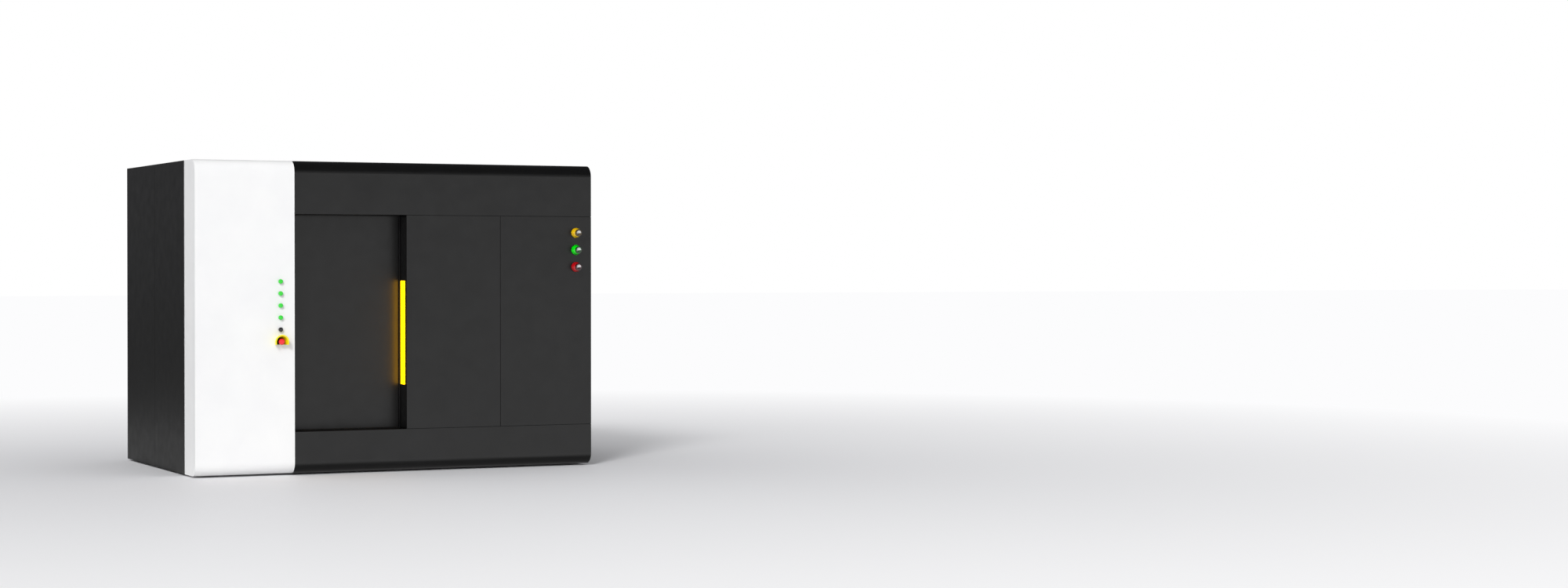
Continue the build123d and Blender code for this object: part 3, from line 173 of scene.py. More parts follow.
# %% World
world = bpy.data.worlds.new("studio")
bpy.context.scene.world = world
tree = fresh(world)
ray = add(tree, "ShaderNodeLightPath").outputs
way = add(tree, "ShaderNodeTexCoord").outputs["Generated"]
xyz = add(tree, "ShaderNodeSeparateXYZ", way).outputs
low, ahead, right = [
    add(tree, "ShaderNodeMapRange", xyz[axis], *ramp, interpolation_type="SMOOTHSTEP")
    for axis, ramp in (("Z", (0.05, 0.28, 1.0, 0.0)),    # bright low, dim above
                       ("Y", (0.15, -0.45, 0.0, 1.0)),   # bright in front, dim behind
                       ("X", (0.1, 0.8, 0.06, 0.45)))]   # half bright towards the right
side = add(tree, "ShaderNodeMath", ahead, right, operation="MAXIMUM")
band = add(tree, "ShaderNodeMath", low, side, operation="MULTIPLY")
shiny = add(tree, "ShaderNodeMath", ray["Is Glossy Ray"], ray["Is Transmission Ray"],
            operation="MAXIMUM")
# each step keeps what came before where its factor is 0 and takes its own level where it is 1
dim_room, bright_room = (0.07, 0.07, 0.075, 1), (1.1, 1.1, 1.1, 1)
plain_level = (0.48, 0.482, 0.49, 1)
mirrored = add(tree, "ShaderNodeMix", band, more={6: dim_room, 7: bright_room},
               data_type="RGBA").outputs[2]
soft = add(tree, "ShaderNodeMix", shiny, more={6: plain_level, 7: mirrored},
           data_type="RGBA").outputs[2]
seen = add(tree, "ShaderNodeMix", ray["Is Camera Ray"], more={6: soft, 7: (1, 1, 1, 1)},
           data_type="RGBA").outputs[2]
add(tree, "ShaderNodeOutputWorld", add(tree, "ShaderNodeBackground", seen, 1.0))
print("world nodes:", len(tree.nodes))

# %% [markdown]
# Two lamps light the object from the left in front. The key stands high and lays the shadows of
# the buttons down to the right. The fill is low and very soft: it brightens the upright faces and
# the rounded lower edge, but hardly the floor and the top. Sun lamps with wide discs light the
# floor as evenly as the object, where area lamps would leave pools of light. Both are kept out of
# mirrored rays, because a bright disc in the dark covers would look like a window that isn't
# there.

# %% Soft lamps
lamp_aim, lamp_away = at(0, 0, 5000), 6  # the light of a sun is the same from any distance
for name, turn, height, power, disc in (("key", 38, 33, 1.45, 14), ("fill", 35, 12, 0.90, 40)):
    toward = heading(math.radians(turn), math.radians(height))
    lamp = bpy.data.lights.new(name, "SUN")
    lamp.energy, lamp.angle = power, math.radians(disc)
    put(name, lamp, lamp_aim - toward * lamp_away, toward).visible_glossy = False
    print(name, "shines along", [round(v, 2) for v in toward])

# %% [markdown]
# The floor is one plain sheet, so wide that its end is never seen.

# %% Floor
reach = 120.0
floor_mesh = bpy.data.meshes.new("floor")
floor_mesh.from_pydata([(-reach, -reach, 0), (reach, -reach, 0), (reach, reach, 0),
                        (-reach, reach, 0)], [], [(0, 1, 2, 3)])
floor = put("floor", floor_mesh)
print("floor spans", 2 * reach, "m")

# %% [markdown]
# Near the machine the floor is an ordinary pale surface, so that it keeps the soft shadow at the
# foot of the cabinet. Far away it fades into the white of the background, for the camera and for
# mirrored rays only, so no horizon line crosses the picture and no extra light falls on the
# object. At the foot of the machine and behind it, mirrored rays find a dark floor, as in its own
# shadow. That keeps the rounded lower edge of the dark covers dark.

# %% Paint of the floor
paint = bpy.data.materials.new("pale_floor")
floor_mesh.materials.append(paint)
tree = fresh(paint)
place = add(tree, "ShaderNodeTexCoord").outputs["Object"]
# how far a spot lies from the footprint of the machine, and how deep in the picture
folded = add(tree, "ShaderNodeVectorMath", place, operation="ABSOLUTE")
outside = add(tree, "ShaderNodeVectorMath", folded, (cad_high.x, cad_high.y, 0),
              operation="SUBTRACT")
clear = add(tree, "ShaderNodeVectorMath", outside, (0, 0, 0), operation="MAXIMUM")
distance = add(tree, "ShaderNodeVectorMath", clear, operation="LENGTH").outputs["Value"]
depth = add(tree, "ShaderNodeSeparateXYZ", place).outputs["Y"]
fade = add(tree, "ShaderNodeMapRange", distance, 0.0, 10.0, 0.0, 1.0)
foot = add(tree, "ShaderNodeMapRange", distance, 0.0, 0.10, 0.25, 1.0)
beside, behind = [add(tree, "ShaderNodeMapRange", depth, *ramp, interpolation_type="SMOOTHSTEP")
                  for ramp in ((-1.2, 0.0, 1.0, 0.25), (3.0, 9.0, 1.0, 0.3))]
ray = add(tree, "ShaderNodeLightPath").outputs
mirrored = add(tree, "ShaderNodeMath", ray["Is Glossy Ray"], ray["Is Transmission Ray"],
               operation="MAXIMUM")
dimmed = add(tree, "ShaderNodeMath", beside, behind, operation="MULTIPLY")
shadow = add(tree, "ShaderNodeMath", foot, dimmed, operation="MULTIPLY")
level = add(tree, "ShaderNodeMix", mirrored, more={2: 1.0, 3: shadow})
ground = add(tree, "ShaderNodeBsdfPrincipled", Base_Color=tint("#f0f0f2"), Roughness=0.6,
             Specular_IOR_Level=0.2)
white = add(tree, "ShaderNodeEmission", tint("#fcfcfd"), level)
far = add(tree, "ShaderNodeMath", fade, ray["Is Camera Ray"], mirrored, operation="MULTIPLY_ADD")
add(tree, "ShaderNodeOutputMaterial", add(tree, "ShaderNodeMixShader", far, ground, white))
print("floor nodes:", len(tree.nodes))


# %% [markdown]
# ## Finishes
#
# Every finish starts from a small table of what it is: colour, roughness and the size of its
# texture in millimetres. A texture that would be finer than a pixel is drawn coarser, so that it
# still breaks up the reflection a little, as the real one does when the eye is close.

# %% A finish to start from
finishes = {}
noise_span = (0.3, 0.7)  # where nearly all values of a noise lie


def start(name, **sockets):
    """A new finish: its surface shader and the object's own coordinates."""
    finishes[name] = bpy.data.materials.new(name)
    surface = add(fresh(finishes[name]), "ShaderNodeBsdfPrincipled", **sockets)
    add(surface, "ShaderNodeOutputMaterial", surface)
    return surface, add(surface, "ShaderNodeTexCoord").outputs["Object"]


def noise(place, size_mm, detail=2.0, stretch=(1, 1, 1)):
    """Noise whose grains are size_mm wide, drawn out along an axis where stretch is small."""
    scaled = add(place, "ShaderNodeMapping", Vector=place, Scale=stretch)
    return add(place, "ShaderNodeTexNoise", Vector=scaled, Scale=1000 / size_mm, Detail=detail)


def relief(surface, height, depth_mm):
    """Raises the surface by a texture, depth_mm deep."""
    feed(surface, Normal=add(surface, "ShaderNodeBump", Strength=1.0, Distance=depth_mm / 1000,
                             Height=height))


def gloss(surface, texture, low, high):
    """Roughness that drifts from low to high with a texture."""
    feed(surface, Roughness=add(surface, "ShaderNodeMapRange", texture, *noise_span, low, high))


def shade(surface, texture, dark, light):
    """Base colour that drifts between two hex colours with a texture."""
    drift = add(surface, "ShaderNodeMapRange", texture, *noise_span, 0.0, 1.0)
    mix = add(surface, "ShaderNodeMix", drift, more={6: tint(dark), 7: tint(light)},
              data_type="RGBA")
    feed(surface, Base_Color=mix.outputs[2])


def grained(name, dark, light, drift, grain, depth_mm, **sockets):
    """A finish whose colour drifts and whose surface has a grain, both given as noise."""
    surface, place = start(name, **sockets)
    shade(surface, noise(place, *drift), dark, light)
    relief(surface, noise(place, *grain), depth_mm)


print("ready to mix finishes")

# %% [markdown]
# ### Powder coat on folded sheet steel
#
# The covers are folded from 3 mm steel, sprayed with dry paint and baked. The coat has a faint
# orange peel of a millimetre or two. Across a whole panel the eye also sees the sheet itself,
# which is never quite flat, and a slight unevenness of gloss. Peel, sheet and gloss each get a
# noise of their own real size. The dark coat is nearly black: its grey on the front is all
# mirrored light.

# %% Powder coats
def powder_coat(name, dark, light, roughness, peel_mm, peel_depth_mm, wave_depth_mm=0.0):
    surface, place = start(name, Roughness=roughness, IOR=1.5)
    shade(surface, noise(place, 260, 3.0), dark, light)
    gloss(surface, noise(place, 90, 4.0), roughness - 0.03, roughness + 0.03)
    peel, sheet = noise(place, peel_mm, 1.0), noise(place, 420, 0.0)
    rise = add(surface, "ShaderNodeMath", sheet, wave_depth_mm / peel_depth_mm, peel,
               operation="MULTIPLY_ADD")
    relief(surface, rise, peel_depth_mm)


for values in (
        # satin white, fine texture: soft even white with no hard mirror
        ("white_paint", "#f1f1f1", "#f5f5f4", 0.42, 3.0, 0.012, 0.05),
        # satin near-black, fine texture: dark grey where it mirrors the room, black elsewhere
        ("black_paint", "#0a0a0a", "#0d0d0d", 0.33, 3.0, 0.010, 0.04),
        # light grey inside of the shielded cabin, a coarser and duller coat
        ("inner_paint", "#c9cdcf", "#d0d3d5", 0.50, 4.0, 0.03),
        # dark grey structure paint on the base beams
        ("frame_paint", "#2a2b2d", "#303133", 0.58, 4.0, 0.04),
        # black coat on the cast hinges and on the latch
        ("hinge_black", "#101011", "#151516", 0.38, 2.5, 0.02),
        # the vents, one tone above the doors that carry them
        ("vent_grey", "#121213", "#171718", 0.40, 3.0, 0.015),
        # black baked coat on the motor housings
        ("motor_black", "#17181a", "#1d1e20", 0.45, 3.0, 0.02),
        # light machine grey on the generator
        ("generator_paint", "#b9bcbb", "#c1c4c3", 0.45, 4.0, 0.03)):
    powder_coat(*values)
print("powder coats:", len(finishes))


# %% [markdown]
# ### Moulded plastic
#
# Bezels, caps, guards and fans are injection moulded. The mould is spark eroded for a matt grip
# or polished for a lens, and the plastic copies it. The coloured caps let a little light in under
# the skin, which makes their edges glow instead of turning grey, so they get a small subsurface
# share.

# %% Moulded plastics
def moulded(name, dark, light, roughness, grain_mm, depth_mm, under=0.0, coat=0.0):
    grained(name, dark, light, (40, 2.0), (grain_mm, 2.0), depth_mm, Roughness=roughness,
            IOR=1.49, Subsurface_Weight=under, Subsurface_Scale=0.004, Coat_Weight=coat,
            Coat_Roughness=0.06)


for values in (
        # glass filled nylon of bezels, barrels and contact blocks: dull black
        ("device_black", "#0d0d0e", "#121213", 0.42, 1.2, 0.02),
        # clear green cap over a white core: a clean bright green without a hard mirror
        ("button_green", "#33d838", "#3ee043", 0.32, 2.0, 0.004, 0.10, 0.3),
        # polished black cap: a soft grey highlight on black
        ("button_black", "#0a0a0b", "#101011", 0.16, 2.0, 0.002, 0.0, 0.6),
        # guard in signal yellow, glossy
        ("stop_yellow", "#f6e60a", "#fbed14", 0.28, 2.5, 0.006, 0.05, 0.3),
        # mushroom head in signal red, glossy
        ("stop_red", "#f3202c", "#f92a34", 0.22, 2.0, 0.003, 0.05, 0.4),
        # fan blades, moulded black
        ("fan_black", "#111112", "#171718", 0.40, 1.5, 0.02),
        # housings of drives and controllers, light grey with a fine grain
        ("module_grey", "#5f666b", "#687075", 0.48, 1.2, 0.03),
        # white cast nylon of the rollers, slightly milky
        ("roller_nylon", "#dcd8c8", "#e6e2d4", 0.36, 3.0, 0.01, 0.2)):
    moulded(*values)
print("finishes so far:", len(finishes))


# %% [markdown]
# ### Lens of a signal lamp
#
# The lamps are polished coloured lenses. In daylight they look like hard candy: a deep colour, a
# sharp highlight and a lighter rim where light runs through the wall. A clear coat over a
# coloured body gives the colour and the highlight, and it stays readable in a dark room. A true
# glass shader would show the black cover through the lens and lose the colour. The shading of
# the lens is painted into its colour: a painted shade darkens each face towards its rim, and
# the end of the lens gets a painted dark shade for the unlit body that the eye sees along the wall.

# %% Lamp lenses
# where the painted dark shade at the end of each lens begins, and where it is full
tip_shade_start, tip_shade_full = 0.056, 0.060  # in metres out from the cabinet


def lens(name, dark, light, deep):
    surface, place = start(name, Roughness=0.14, IOR=1.58, Coat_Weight=0.5,
                           Coat_Roughness=0.03, Subsurface_Weight=0.1,
                           Subsurface_Scale=0.012)
    # painted shade: faces that look at the viewer take the lit colour, light, and their rim the
    # darker colour, dark
    rim_shade = add(surface, "ShaderNodeLayerWeight", Blend=0.35).outputs["Facing"]
    wall = add(surface, "ShaderNodeMix", rim_shade, more={6: tint(light), 7: tint(dark)},
               data_type="RGBA")
    # painted shade: the end of the lens turns to the colour deep, for the unlit body seen through
    # it
    along = add(surface, "ShaderNodeSeparateXYZ", place).outputs["Y"]
    end = add(surface, "ShaderNodeMapRange", along, corner.y - tip_shade_start, corner.y - tip_shade_full)
    colour = add(surface, "ShaderNodeMix", end, more={6: wall.outputs[2], 7: tint(deep)},
                 data_type="RGBA")
    feed(surface, Base_Color=colour.outputs[2])
    relief(surface, noise(place, 14, 1.0), 0.05)


# each lens gets its painted rim shade, its lit colour and its painted dark tip
lens("lamp_amber", "#846200", "#f4c611", "#2e2003")
lens("lamp_green", "#006a08", "#02ec10", "#052c08")
lens("lamp_red", "#4a0509", "#c40b16", "#240306")
print("lamp lenses:", [name for name in finishes if name.startswith("lamp")])

# %% [markdown]
# ### The yellow light
#
# The strip in the reveal of the bay is a lit diffuser. It looks pure yellow because it is
# brighter than the picture can hold, and its true colour shows in the orange sheen on the door
# beside it. So the light it gives is orange, and strong enough to clip to yellow. Only the
# diffuser shines: its slim body behind the cover stays black, told apart by where it is in the
# piece.

# %% Light strip
strip_low, strip_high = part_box("light_strip")
lit_depth, ridge_mm = 0.0045, 6
surface, place = start("light_yellow", Base_Color=tint("#f2c40a"), Roughness=0.4, IOR=1.49,
                       Emission_Color=(1.0, 0.47, 0.0, 1.0))
depth = add(surface, "ShaderNodeSeparateXYZ", place).outputs["X"]
lit = add(surface, "ShaderNodeMath", depth, strip_low.x + lit_depth, operation="LESS_THAN")
ridges = add(surface, "ShaderNodeTexWave", Vector=place, Scale=1000 / ridge_mm / 20,
             wave_type="BANDS", bands_direction="Z").outputs["Fac"]
even = add(surface, "ShaderNodeMapRange", ridges, 0.0, 1.0, 5.2, 5.5)
feed(surface, Emission_Strength=add(surface, "ShaderNodeMath", lit, even, operation="MULTIPLY"))
relief(surface, ridges, 0.1)
print("strip height in mm:", round((strip_high.z - strip_low.z) * 1000))


# %% [markdown]
# ### Worked metal
#
# Ground rails, brushed sheet, turned discs and cast aluminium differ by the marks that their tool
# left. Grinding and brushing draw long fine lines one way, so their noise is stretched along one
# axis. Turning leaves rings, so its pattern is a wave of rings about the spindle. Real lines are
# hundredths of a millimetre apart. They are drawn about a millimetre apart, so that they show.

# %% Metals
def worked_metal(name, dark, light, roughness, grain_mm, stretch, depth_mm):
    surface, place = start(name, Roughness=roughness, Metallic=1.0)
    shade(surface, noise(place, 120, 3.0), dark, light)
    lines = noise(place, grain_mm, 3.0, stretch)
    gloss(surface, lines, roughness - 0.06, roughness + 0.06)
    relief(surface, lines, depth_mm)


for values in (
        # zinc plated and passivated sheet: pale, a little cloudy
        ("zinc_steel", "#a9adb1", "#b9bcbe", 0.36, 9.0, (1, 1, 1), 0.01),
        # ground and hardened guide rails: bright, lines along the rail
        ("rail_steel", "#b5b8bb", "#c3c5c7", 0.20, 1.0, (0.05, 1, 0.3), 0.008),
        # extruded profile of the door drive: silver, lines along it
        ("drive_aluminium", "#b7babd", "#c6c9cb", 0.34, 1.2, (0.04, 1, 1), 0.012),
        # milled and clear anodised plates: a soft even grey
        ("axis_aluminium", "#8d9194", "#999c9f", 0.38, 1.5, (0.3, 1, 1), 0.01),
        # tube housing, brushed round and nickel plated
        ("tube_steel", "#b3b4b4", "#c4c5c5", 0.26, 1.0, (1, 0.15, 0.15), 0.01),
        # detector housing, dark grey anodised
        ("detector_shell", "#3b3d41", "#44464a", 0.42, 1.5, (1, 1, 1), 0.01),
        # stainless screws
        ("screw_steel", "#9c9fa2", "#b4b6b8", 0.30, 1.5, (1, 1, 1), 0.01)):
    worked_metal(*values)
print("finishes so far:", len(finishes))

# %% [markdown]
# The platter is faced on a lathe. Its rings are centred on its own spindle, so a Mapping node
# moves the pattern from the origin of the frame to the axis of the turntable.

# %% Turned platter
platter_low, platter_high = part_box("turntable_platter")
spindle, ring_mm = (platter_low + platter_high) / 2, 2.5
surface, place = start("platter_steel", Roughness=0.28, Metallic=1.0)
moved = add(surface, "ShaderNodeMapping", Vector=place, Location=(-spindle.x, -spindle.y, 0))
rings = add(surface, "ShaderNodeTexWave", Vector=moved, Scale=1000 / ring_mm / 20, Distortion=0.4,
            wave_type="RINGS", rings_direction="Z").outputs["Fac"]
shade(surface, noise(place, 60, 2.0), "#b9bcbf", "#c7c9cb")
gloss(surface, rings, 0.24, 0.36)
relief(surface, rings, 0.01)
print("platter axis:", [round(v, 4) for v in spindle.xy])

# %% [markdown]
# ### Granite
#
# The bed and both columns are black granite, ground and lapped. Up close it is a mix of dark,
# grey and a few glassy pale grains, two to five millimetres wide. A Voronoi pattern gives each
# grain one tone, as a crystal has, where plain noise would look like cloud.

# %% Granite
grain_mm = 4.5
surface, place = start("granite", Roughness=0.24, IOR=1.54)
grain = add(surface, "ShaderNodeTexVoronoi", Vector=place, Scale=1000 / grain_mm, feature="F1")
tone = add(surface, "ShaderNodeSeparateColor", grain.outputs["Color"])
ramp = add(surface, "ShaderNodeValToRGB", tone)
ramp.color_ramp.elements[0].color = tint("#17181a")
ramp.color_ramp.elements[1].color = tint("#8b8c8c")
for spot, code in ((0.45, "#232427"), (0.72, "#3a3b3e"), (0.90, "#55575a")):
    ramp.color_ramp.elements.new(spot).color = tint(code)
feed(surface, Base_Color=ramp)
gloss(surface, tone.outputs[1], 0.20, 0.30)
relief(surface, noise(place, 3.0, 2.0), 0.008)
bed_low, bed_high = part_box("machine_bed")
print("grains across the bed:", round(1000 * (bed_high.y - bed_low.y) / grain_mm))

# %% [markdown]
# ### Rubber, glass and small finishes
#
# Rubber is dull and dusty, and swallows light at every angle. The window of the detector is a
# carbon fibre sheet, whose weave shows as a fine check. The rest are small accents: green end
# seals on the guide blocks, copper in the sockets and an indicator that is lit.

# %% Small finishes
weave_mm = 6
surface, place = start("carbon_sheet", Roughness=0.30, IOR=1.55, Coat_Weight=0.6,
                       Coat_Roughness=0.08)
weave = add(surface, "ShaderNodeTexChecker", Vector=place, Scale=1000 / weave_mm,
            Color1=tint("#101113"), Color2=tint("#1b1d20"))
feed(surface, Base_Color=weave)
relief(surface, weave.outputs[1], 0.02)

grained("black_rubber", "#0c0c0c", "#131313", (30, 4.0), (2.5, 3.0), 0.05, Roughness=0.78,
        IOR=1.52)
grained("chrome", "#d2d4d6", "#e2e3e4", (20, 1.0), (8.0, 1.0), 0.004, Roughness=0.06,
        Metallic=1.0)
grained("copper", "#b9693f", "#cf8156", (15, 2.0), (1.5, 2.0), 0.01, Roughness=0.28, Metallic=1.0)
grained("indicator", "#1fc43f", "#34e255", (3, 1.0), (1.5, 1.0), 0.01, Roughness=0.2, IOR=1.5,
        Emission_Strength=0.9, Emission_Color=tint("#2cff5a"))
moulded("seal_green", "#1f6b46", "#26784f", 0.40, 1.5, 0.01)
moulded("terminal_grey", "#8c9296", "#9aa0a3", 0.45, 1.5, 0.02)
moulded("duct_grey", "#a3a8ab", "#adb1b4", 0.50, 2.0, 0.02)
moulded("lens_clear", "#d4d8d6", "#e2e6e4", 0.10, 3.0, 0.002, 0.1, 0.8)
print("finishes in all:", len(finishes))

# %% [markdown]
# ## Finishes on the solids
#
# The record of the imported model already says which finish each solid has, so the finishes above
# carry the same names. Only the slots of the objects are filled. The meshes stay as they came.

# %% Dress the solids
slot_of = {part["node"]: part["material_slot"] for part in frame["record"]["subparts"]}
for node, piece in frame["nodes"].items():
    piece.data.materials.clear()
    piece.data.materials.append(finishes[slot_of[node]])
print("dressed", len(slot_of), "solids in", len(set(slot_of.values())), "finishes")

# %% [markdown]
# ## Rules for small parts
#
# Screws, slats, teeth, threads and wires repeat by a rule, so each kind gets one tree of geometry
# nodes with named inputs for its sizes. A change of one number then changes all of them.

# %% Start and close a rule
def rule(name, **inputs):
    """A new geometry tree with its named inputs; returns the tree and its input sockets."""
    tree = bpy.data.node_groups.new(name, "GeometryNodeTree")
    for label, kind in {"Geometry": "Geometry", **inputs, "Finish": "Material"}.items():
        tree.interface.new_socket(label.replace("_", " "), in_out="INPUT",
                                  socket_type="NodeSocket" + kind)
    tree.interface.new_socket("Geometry", in_out="OUTPUT", socket_type="NodeSocketGeometry")
    return tree, add(tree, "NodeGroupInput").outputs


def aimed(given, shape, **move):
    """The shape with its own upright turned to the axis of the rule, and moved."""
    pose = add(shape, "FunctionNodeAlignRotationToVector", Vector=given["Axis"], axis="Z")
    return add(shape, "GeometryNodeTransform", Geometry=shape, Rotation=pose, **move)


def close(given, shape):
    """Makes the copies real, gives them their finish, and ends the tree."""
    real = add(shape, "GeometryNodeRealizeInstances", shape)
    add(shape, "NodeGroupOutput", add(shape, "GeometryNodeSetMaterial", Geometry=real,
                                      Material=given["Finish"]))
    print("rule", shape.id_data.name, "has", len(shape.id_data.nodes), "nodes")


print("ready to write rules")

# %% [markdown]
# A rule runs once, on an object that is then thrown away. Its result is kept as a plain mesh, and
# that mesh rides on the body that carries it. Some of the finishes above are not in the record of
# the model.


def carried(name, mesh, finish, body):
    """Links a finished mesh as a piece that rides on a body."""
    piece = put(name, mesh)
    if not mesh.materials:
        mesh.materials.append(finishes[finish])
    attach(piece, body)
    print(f"{name}: {len(mesh.polygons)} faces on {body}")
    return piece


def grow(name, rule_name, finish, body, points=(), **values):
    """Runs a rule once, with its values set by socket, and keeps the plain mesh."""
    seeds = bpy.data.meshes.new(name + "_seeds")
    seeds.from_pydata([tuple(p) for p in points], [], [])
    maker = put(name + "_maker", seeds)
    run = maker.modifiers.new("rule", "NODES")
    run.node_group = bpy.data.node_groups[rule_name]
    values["Finish"] = finishes[finish]
    for item in run.node_group.interface.items_tree:
        value = values.get(item.name.replace(" ", "_"))
        if item.in_out == "INPUT" and value is not None:
            run[item.identifier] = tuple(value) if isinstance(value, Vector) else value
    graph = bpy.context.evaluated_depsgraph_get()
    mesh = bpy.data.meshes.new_from_object(maker.evaluated_get(graph), depsgraph=graph)
    mesh.name = name
    bpy.data.objects.remove(maker)
    bpy.data.meshes.remove(seeds)
    return carried(name, mesh, finish, body)


# %% [markdown]
# ### Screws
#
# A socket head screw is a short cylinder with a hexagonal hole. Modelled once with a boolean and
# copied to every point, it stays a few dozen faces. Each copy is turned by a random angle from a
# fixed seed, because no fitter stops every screw at the same place.

# %% Rule for screws
tree, given = rule("screws", Head_Radius="Float", Head_Height="Float", Socket_Radius="Float",
                   Direction="Vector", Seed="Int")


def raised(shape, share):
    """The shape moved up by a share of the height of the head."""
    rise = add(shape, "ShaderNodeMath", given["Head Height"], share, operation="MULTIPLY")
    lift = add(shape, "ShaderNodeCombineXYZ", 0.0, 0.0, rise)
    return add(shape, "GeometryNodeTransform", Geometry=shape, Translation=lift)


head, hexagon = [add(tree, "GeometryNodeMeshCylinder", Vertices=sides, Radius=given[radius],
                     Depth=given["Head Height"])
                 for sides, radius in ((20, "Head Radius"), (6, "Socket Radius"))]
socket = add(tree, "GeometryNodeMeshBoolean", Mesh_1=head, Mesh_2=raised(hexagon, 0.45),
             operation="DIFFERENCE")
aim = add(tree, "FunctionNodeAlignRotationToVector", Vector=given["Direction"], axis="Z")
chance = add(tree, "FunctionNodeRandomValue", more={2: 0.0, 3: 6.283}, Seed=given["Seed"],
             data_type="FLOAT")
spin = add(tree, "FunctionNodeAxisAngleToRotation", Axis=(0, 0, 1), Angle=chance.outputs[1])
twisted = add(tree, "FunctionNodeRotateRotation", aim, spin, rotation_space="LOCAL")
close(given, add(tree, "GeometryNodeInstanceOnPoints", Points=given["Geometry"],
                 Instance=raised(socket, 0.5), Rotation=twisted))


def screws(name, places, direction, body, head_mm=4.2, height_mm=2.2, finish="screw_steel",
           seed=3):
    """Screw heads on places in millimetres, facing along a direction."""
    return grow(name, "screws", finish, body, points=[at(*p) for p in places],
                Head_Radius=head_mm / 1000, Head_Height=height_mm / 1000,
                Socket_Radius=head_mm * 0.5 / 1000, Direction=Vector(direction), Seed=seed)


# %% [markdown]
# ### Slats, teeth and grids
#
# Louvre blades, duct fingers, terminals and wires are one small block repeated along a line, and
# that line repeated along another. The rule takes the block's size, its tilt, and the two steps.

# %% Rule for rows
tree, given = rule("rows", Start="Vector", Step="Vector", Count="Int", Row_Step="Vector",
                   Rows="Int", Size="Vector", Tilt="Vector")
item = add(tree, "GeometryNodeMeshCube", Size=given["Size"])
line = add(tree, "GeometryNodeMeshLine", Count=given["Count"], Start_Location=given["Start"],
           Offset=given["Step"], mode="OFFSET")
angle = add(tree, "FunctionNodeEulerToRotation", given["Tilt"])
row = add(tree, "GeometryNodeInstanceOnPoints", Points=line, Instance=item, Rotation=angle)
stack = add(tree, "GeometryNodeMeshLine", Count=given["Rows"], Offset=given["Row Step"],
            mode="OFFSET")
close(given, add(tree, "GeometryNodeInstanceOnPoints", Points=stack, Instance=row))


def rows(name, finish, body, start, step, count, size, tilt=(0, 0, 0), row_step=(0, 0, 0),
         row_count=1):
    """Repeats a block of a size in millimetres along one or two lines."""
    return grow(name, "rows", finish, body, Start=at(*start), Step=Vector(step) / 1000,
                Count=count, Size=Vector(size) / 1000,
                Tilt=Vector([math.radians(v) for v in tilt]),
                Row_Step=Vector(row_step) / 1000, Rows=row_count)


# %% [markdown]
# ### Marks and ribs round an axis
#
# The degree marks of the platter, the grip of the mushroom heads and the prisms of the lamps
# stand on a circle and look away from its middle. One rule places a small block on each point of
# a circle and then turns the whole ring to the axis it belongs to.

# %% Rule for rings of ribs
tree, given = rule("rings_of_ribs", Centre="Vector", Axis="Vector", Radius="Float", Count="Int",
                   Size="Vector")
rib = add(tree, "GeometryNodeMeshCube", Size=given["Size"])
spots = add(tree, "GeometryNodeMeshCircle", Vertices=given["Count"], Radius=given["Radius"])
spot = add(tree, "GeometryNodeInputPosition")
outward = add(tree, "FunctionNodeAlignRotationToVector", Vector=spot, axis="X", pivot_axis="Z")
ring = add(tree, "GeometryNodeInstanceOnPoints", Points=spots, Instance=rib, Rotation=outward)
close(given, aimed(given, ring, Translation=given["Centre"]))


def ribs(name, finish, body, centre, axis, radius, count, size):
    """Ribs of a size in millimetres (out, along the circle, along the axis) on a circle."""
    return grow(name, "rings_of_ribs", finish, body, Centre=at(*centre), Axis=Vector(axis),
                Radius=radius / 1000, Count=count, Size=Vector(size) / 1000)


# %% [markdown]
# ### Threads and wires
#
# A thread is a small section that follows a spiral. As a curve with a profile it has its width
# and depth as two numbers.

# %% Rule for threads
tree, given = rule("threads", Radius="Float", Pitch="Float", Turns="Float", Width="Float",
                   Depth="Float", Axis="Vector", Steps="Int")
rise = add(tree, "ShaderNodeMath", given["Pitch"], given["Turns"], operation="MULTIPLY")
spiral = add(tree, "GeometryNodeCurveSpiral", Resolution=given["Steps"], Rotations=given["Turns"],
             Start_Radius=given["Radius"], End_Radius=given["Radius"], Height=rise)
spiral = add(tree, "GeometryNodeSetCurveNormal", Curve=spiral, mode="Z_UP")
section = add(tree, "GeometryNodeCurvePrimitiveQuadrilateral", Width=given["Depth"],
              Height=given["Width"])
swept = add(tree, "GeometryNodeCurveToMesh", Curve=spiral, Profile_Curve=section, Fill_Caps=True)
close(given, add(tree, "GeometryNodeInstanceOnPoints", Points=given["Geometry"],
                 Instance=aimed(given, swept)))

# %% [markdown]
# A fan guard is a set of wire circles. They are copies of one circle, scaled by their index, and
# their profile is a small circle as thick as the wire.

# %% Rule for guard wires
tree, given = rule("guard_wires", Centre="Vector", Axis="Vector", Inner="Float", Gap="Float",
                   Count="Int", Wire="Float")
wires = add(tree, "GeometryNodeMeshLine", Count=given["Count"], Offset=(0, 0, 0), mode="OFFSET")
order = add(tree, "GeometryNodeInputIndex")
size = add(tree, "ShaderNodeMath", order, given["Gap"], given["Inner"], operation="MULTIPLY_ADD")
wide = add(tree, "ShaderNodeCombineXYZ", size, size, 1.0)
loop = add(tree, "GeometryNodeCurvePrimitiveCircle", Resolution=48, Radius=1.0)
loops = add(tree, "GeometryNodeInstanceOnPoints", Points=wires, Instance=loop, Scale=wide)
real = add(tree, "GeometryNodeRealizeInstances", loops)
section = add(tree, "GeometryNodeCurvePrimitiveCircle", Resolution=6, Radius=given["Wire"])
swept = add(tree, "GeometryNodeCurveToMesh", Curve=real, Profile_Curve=section)
close(given, aimed(given, swept, Translation=given["Centre"]))
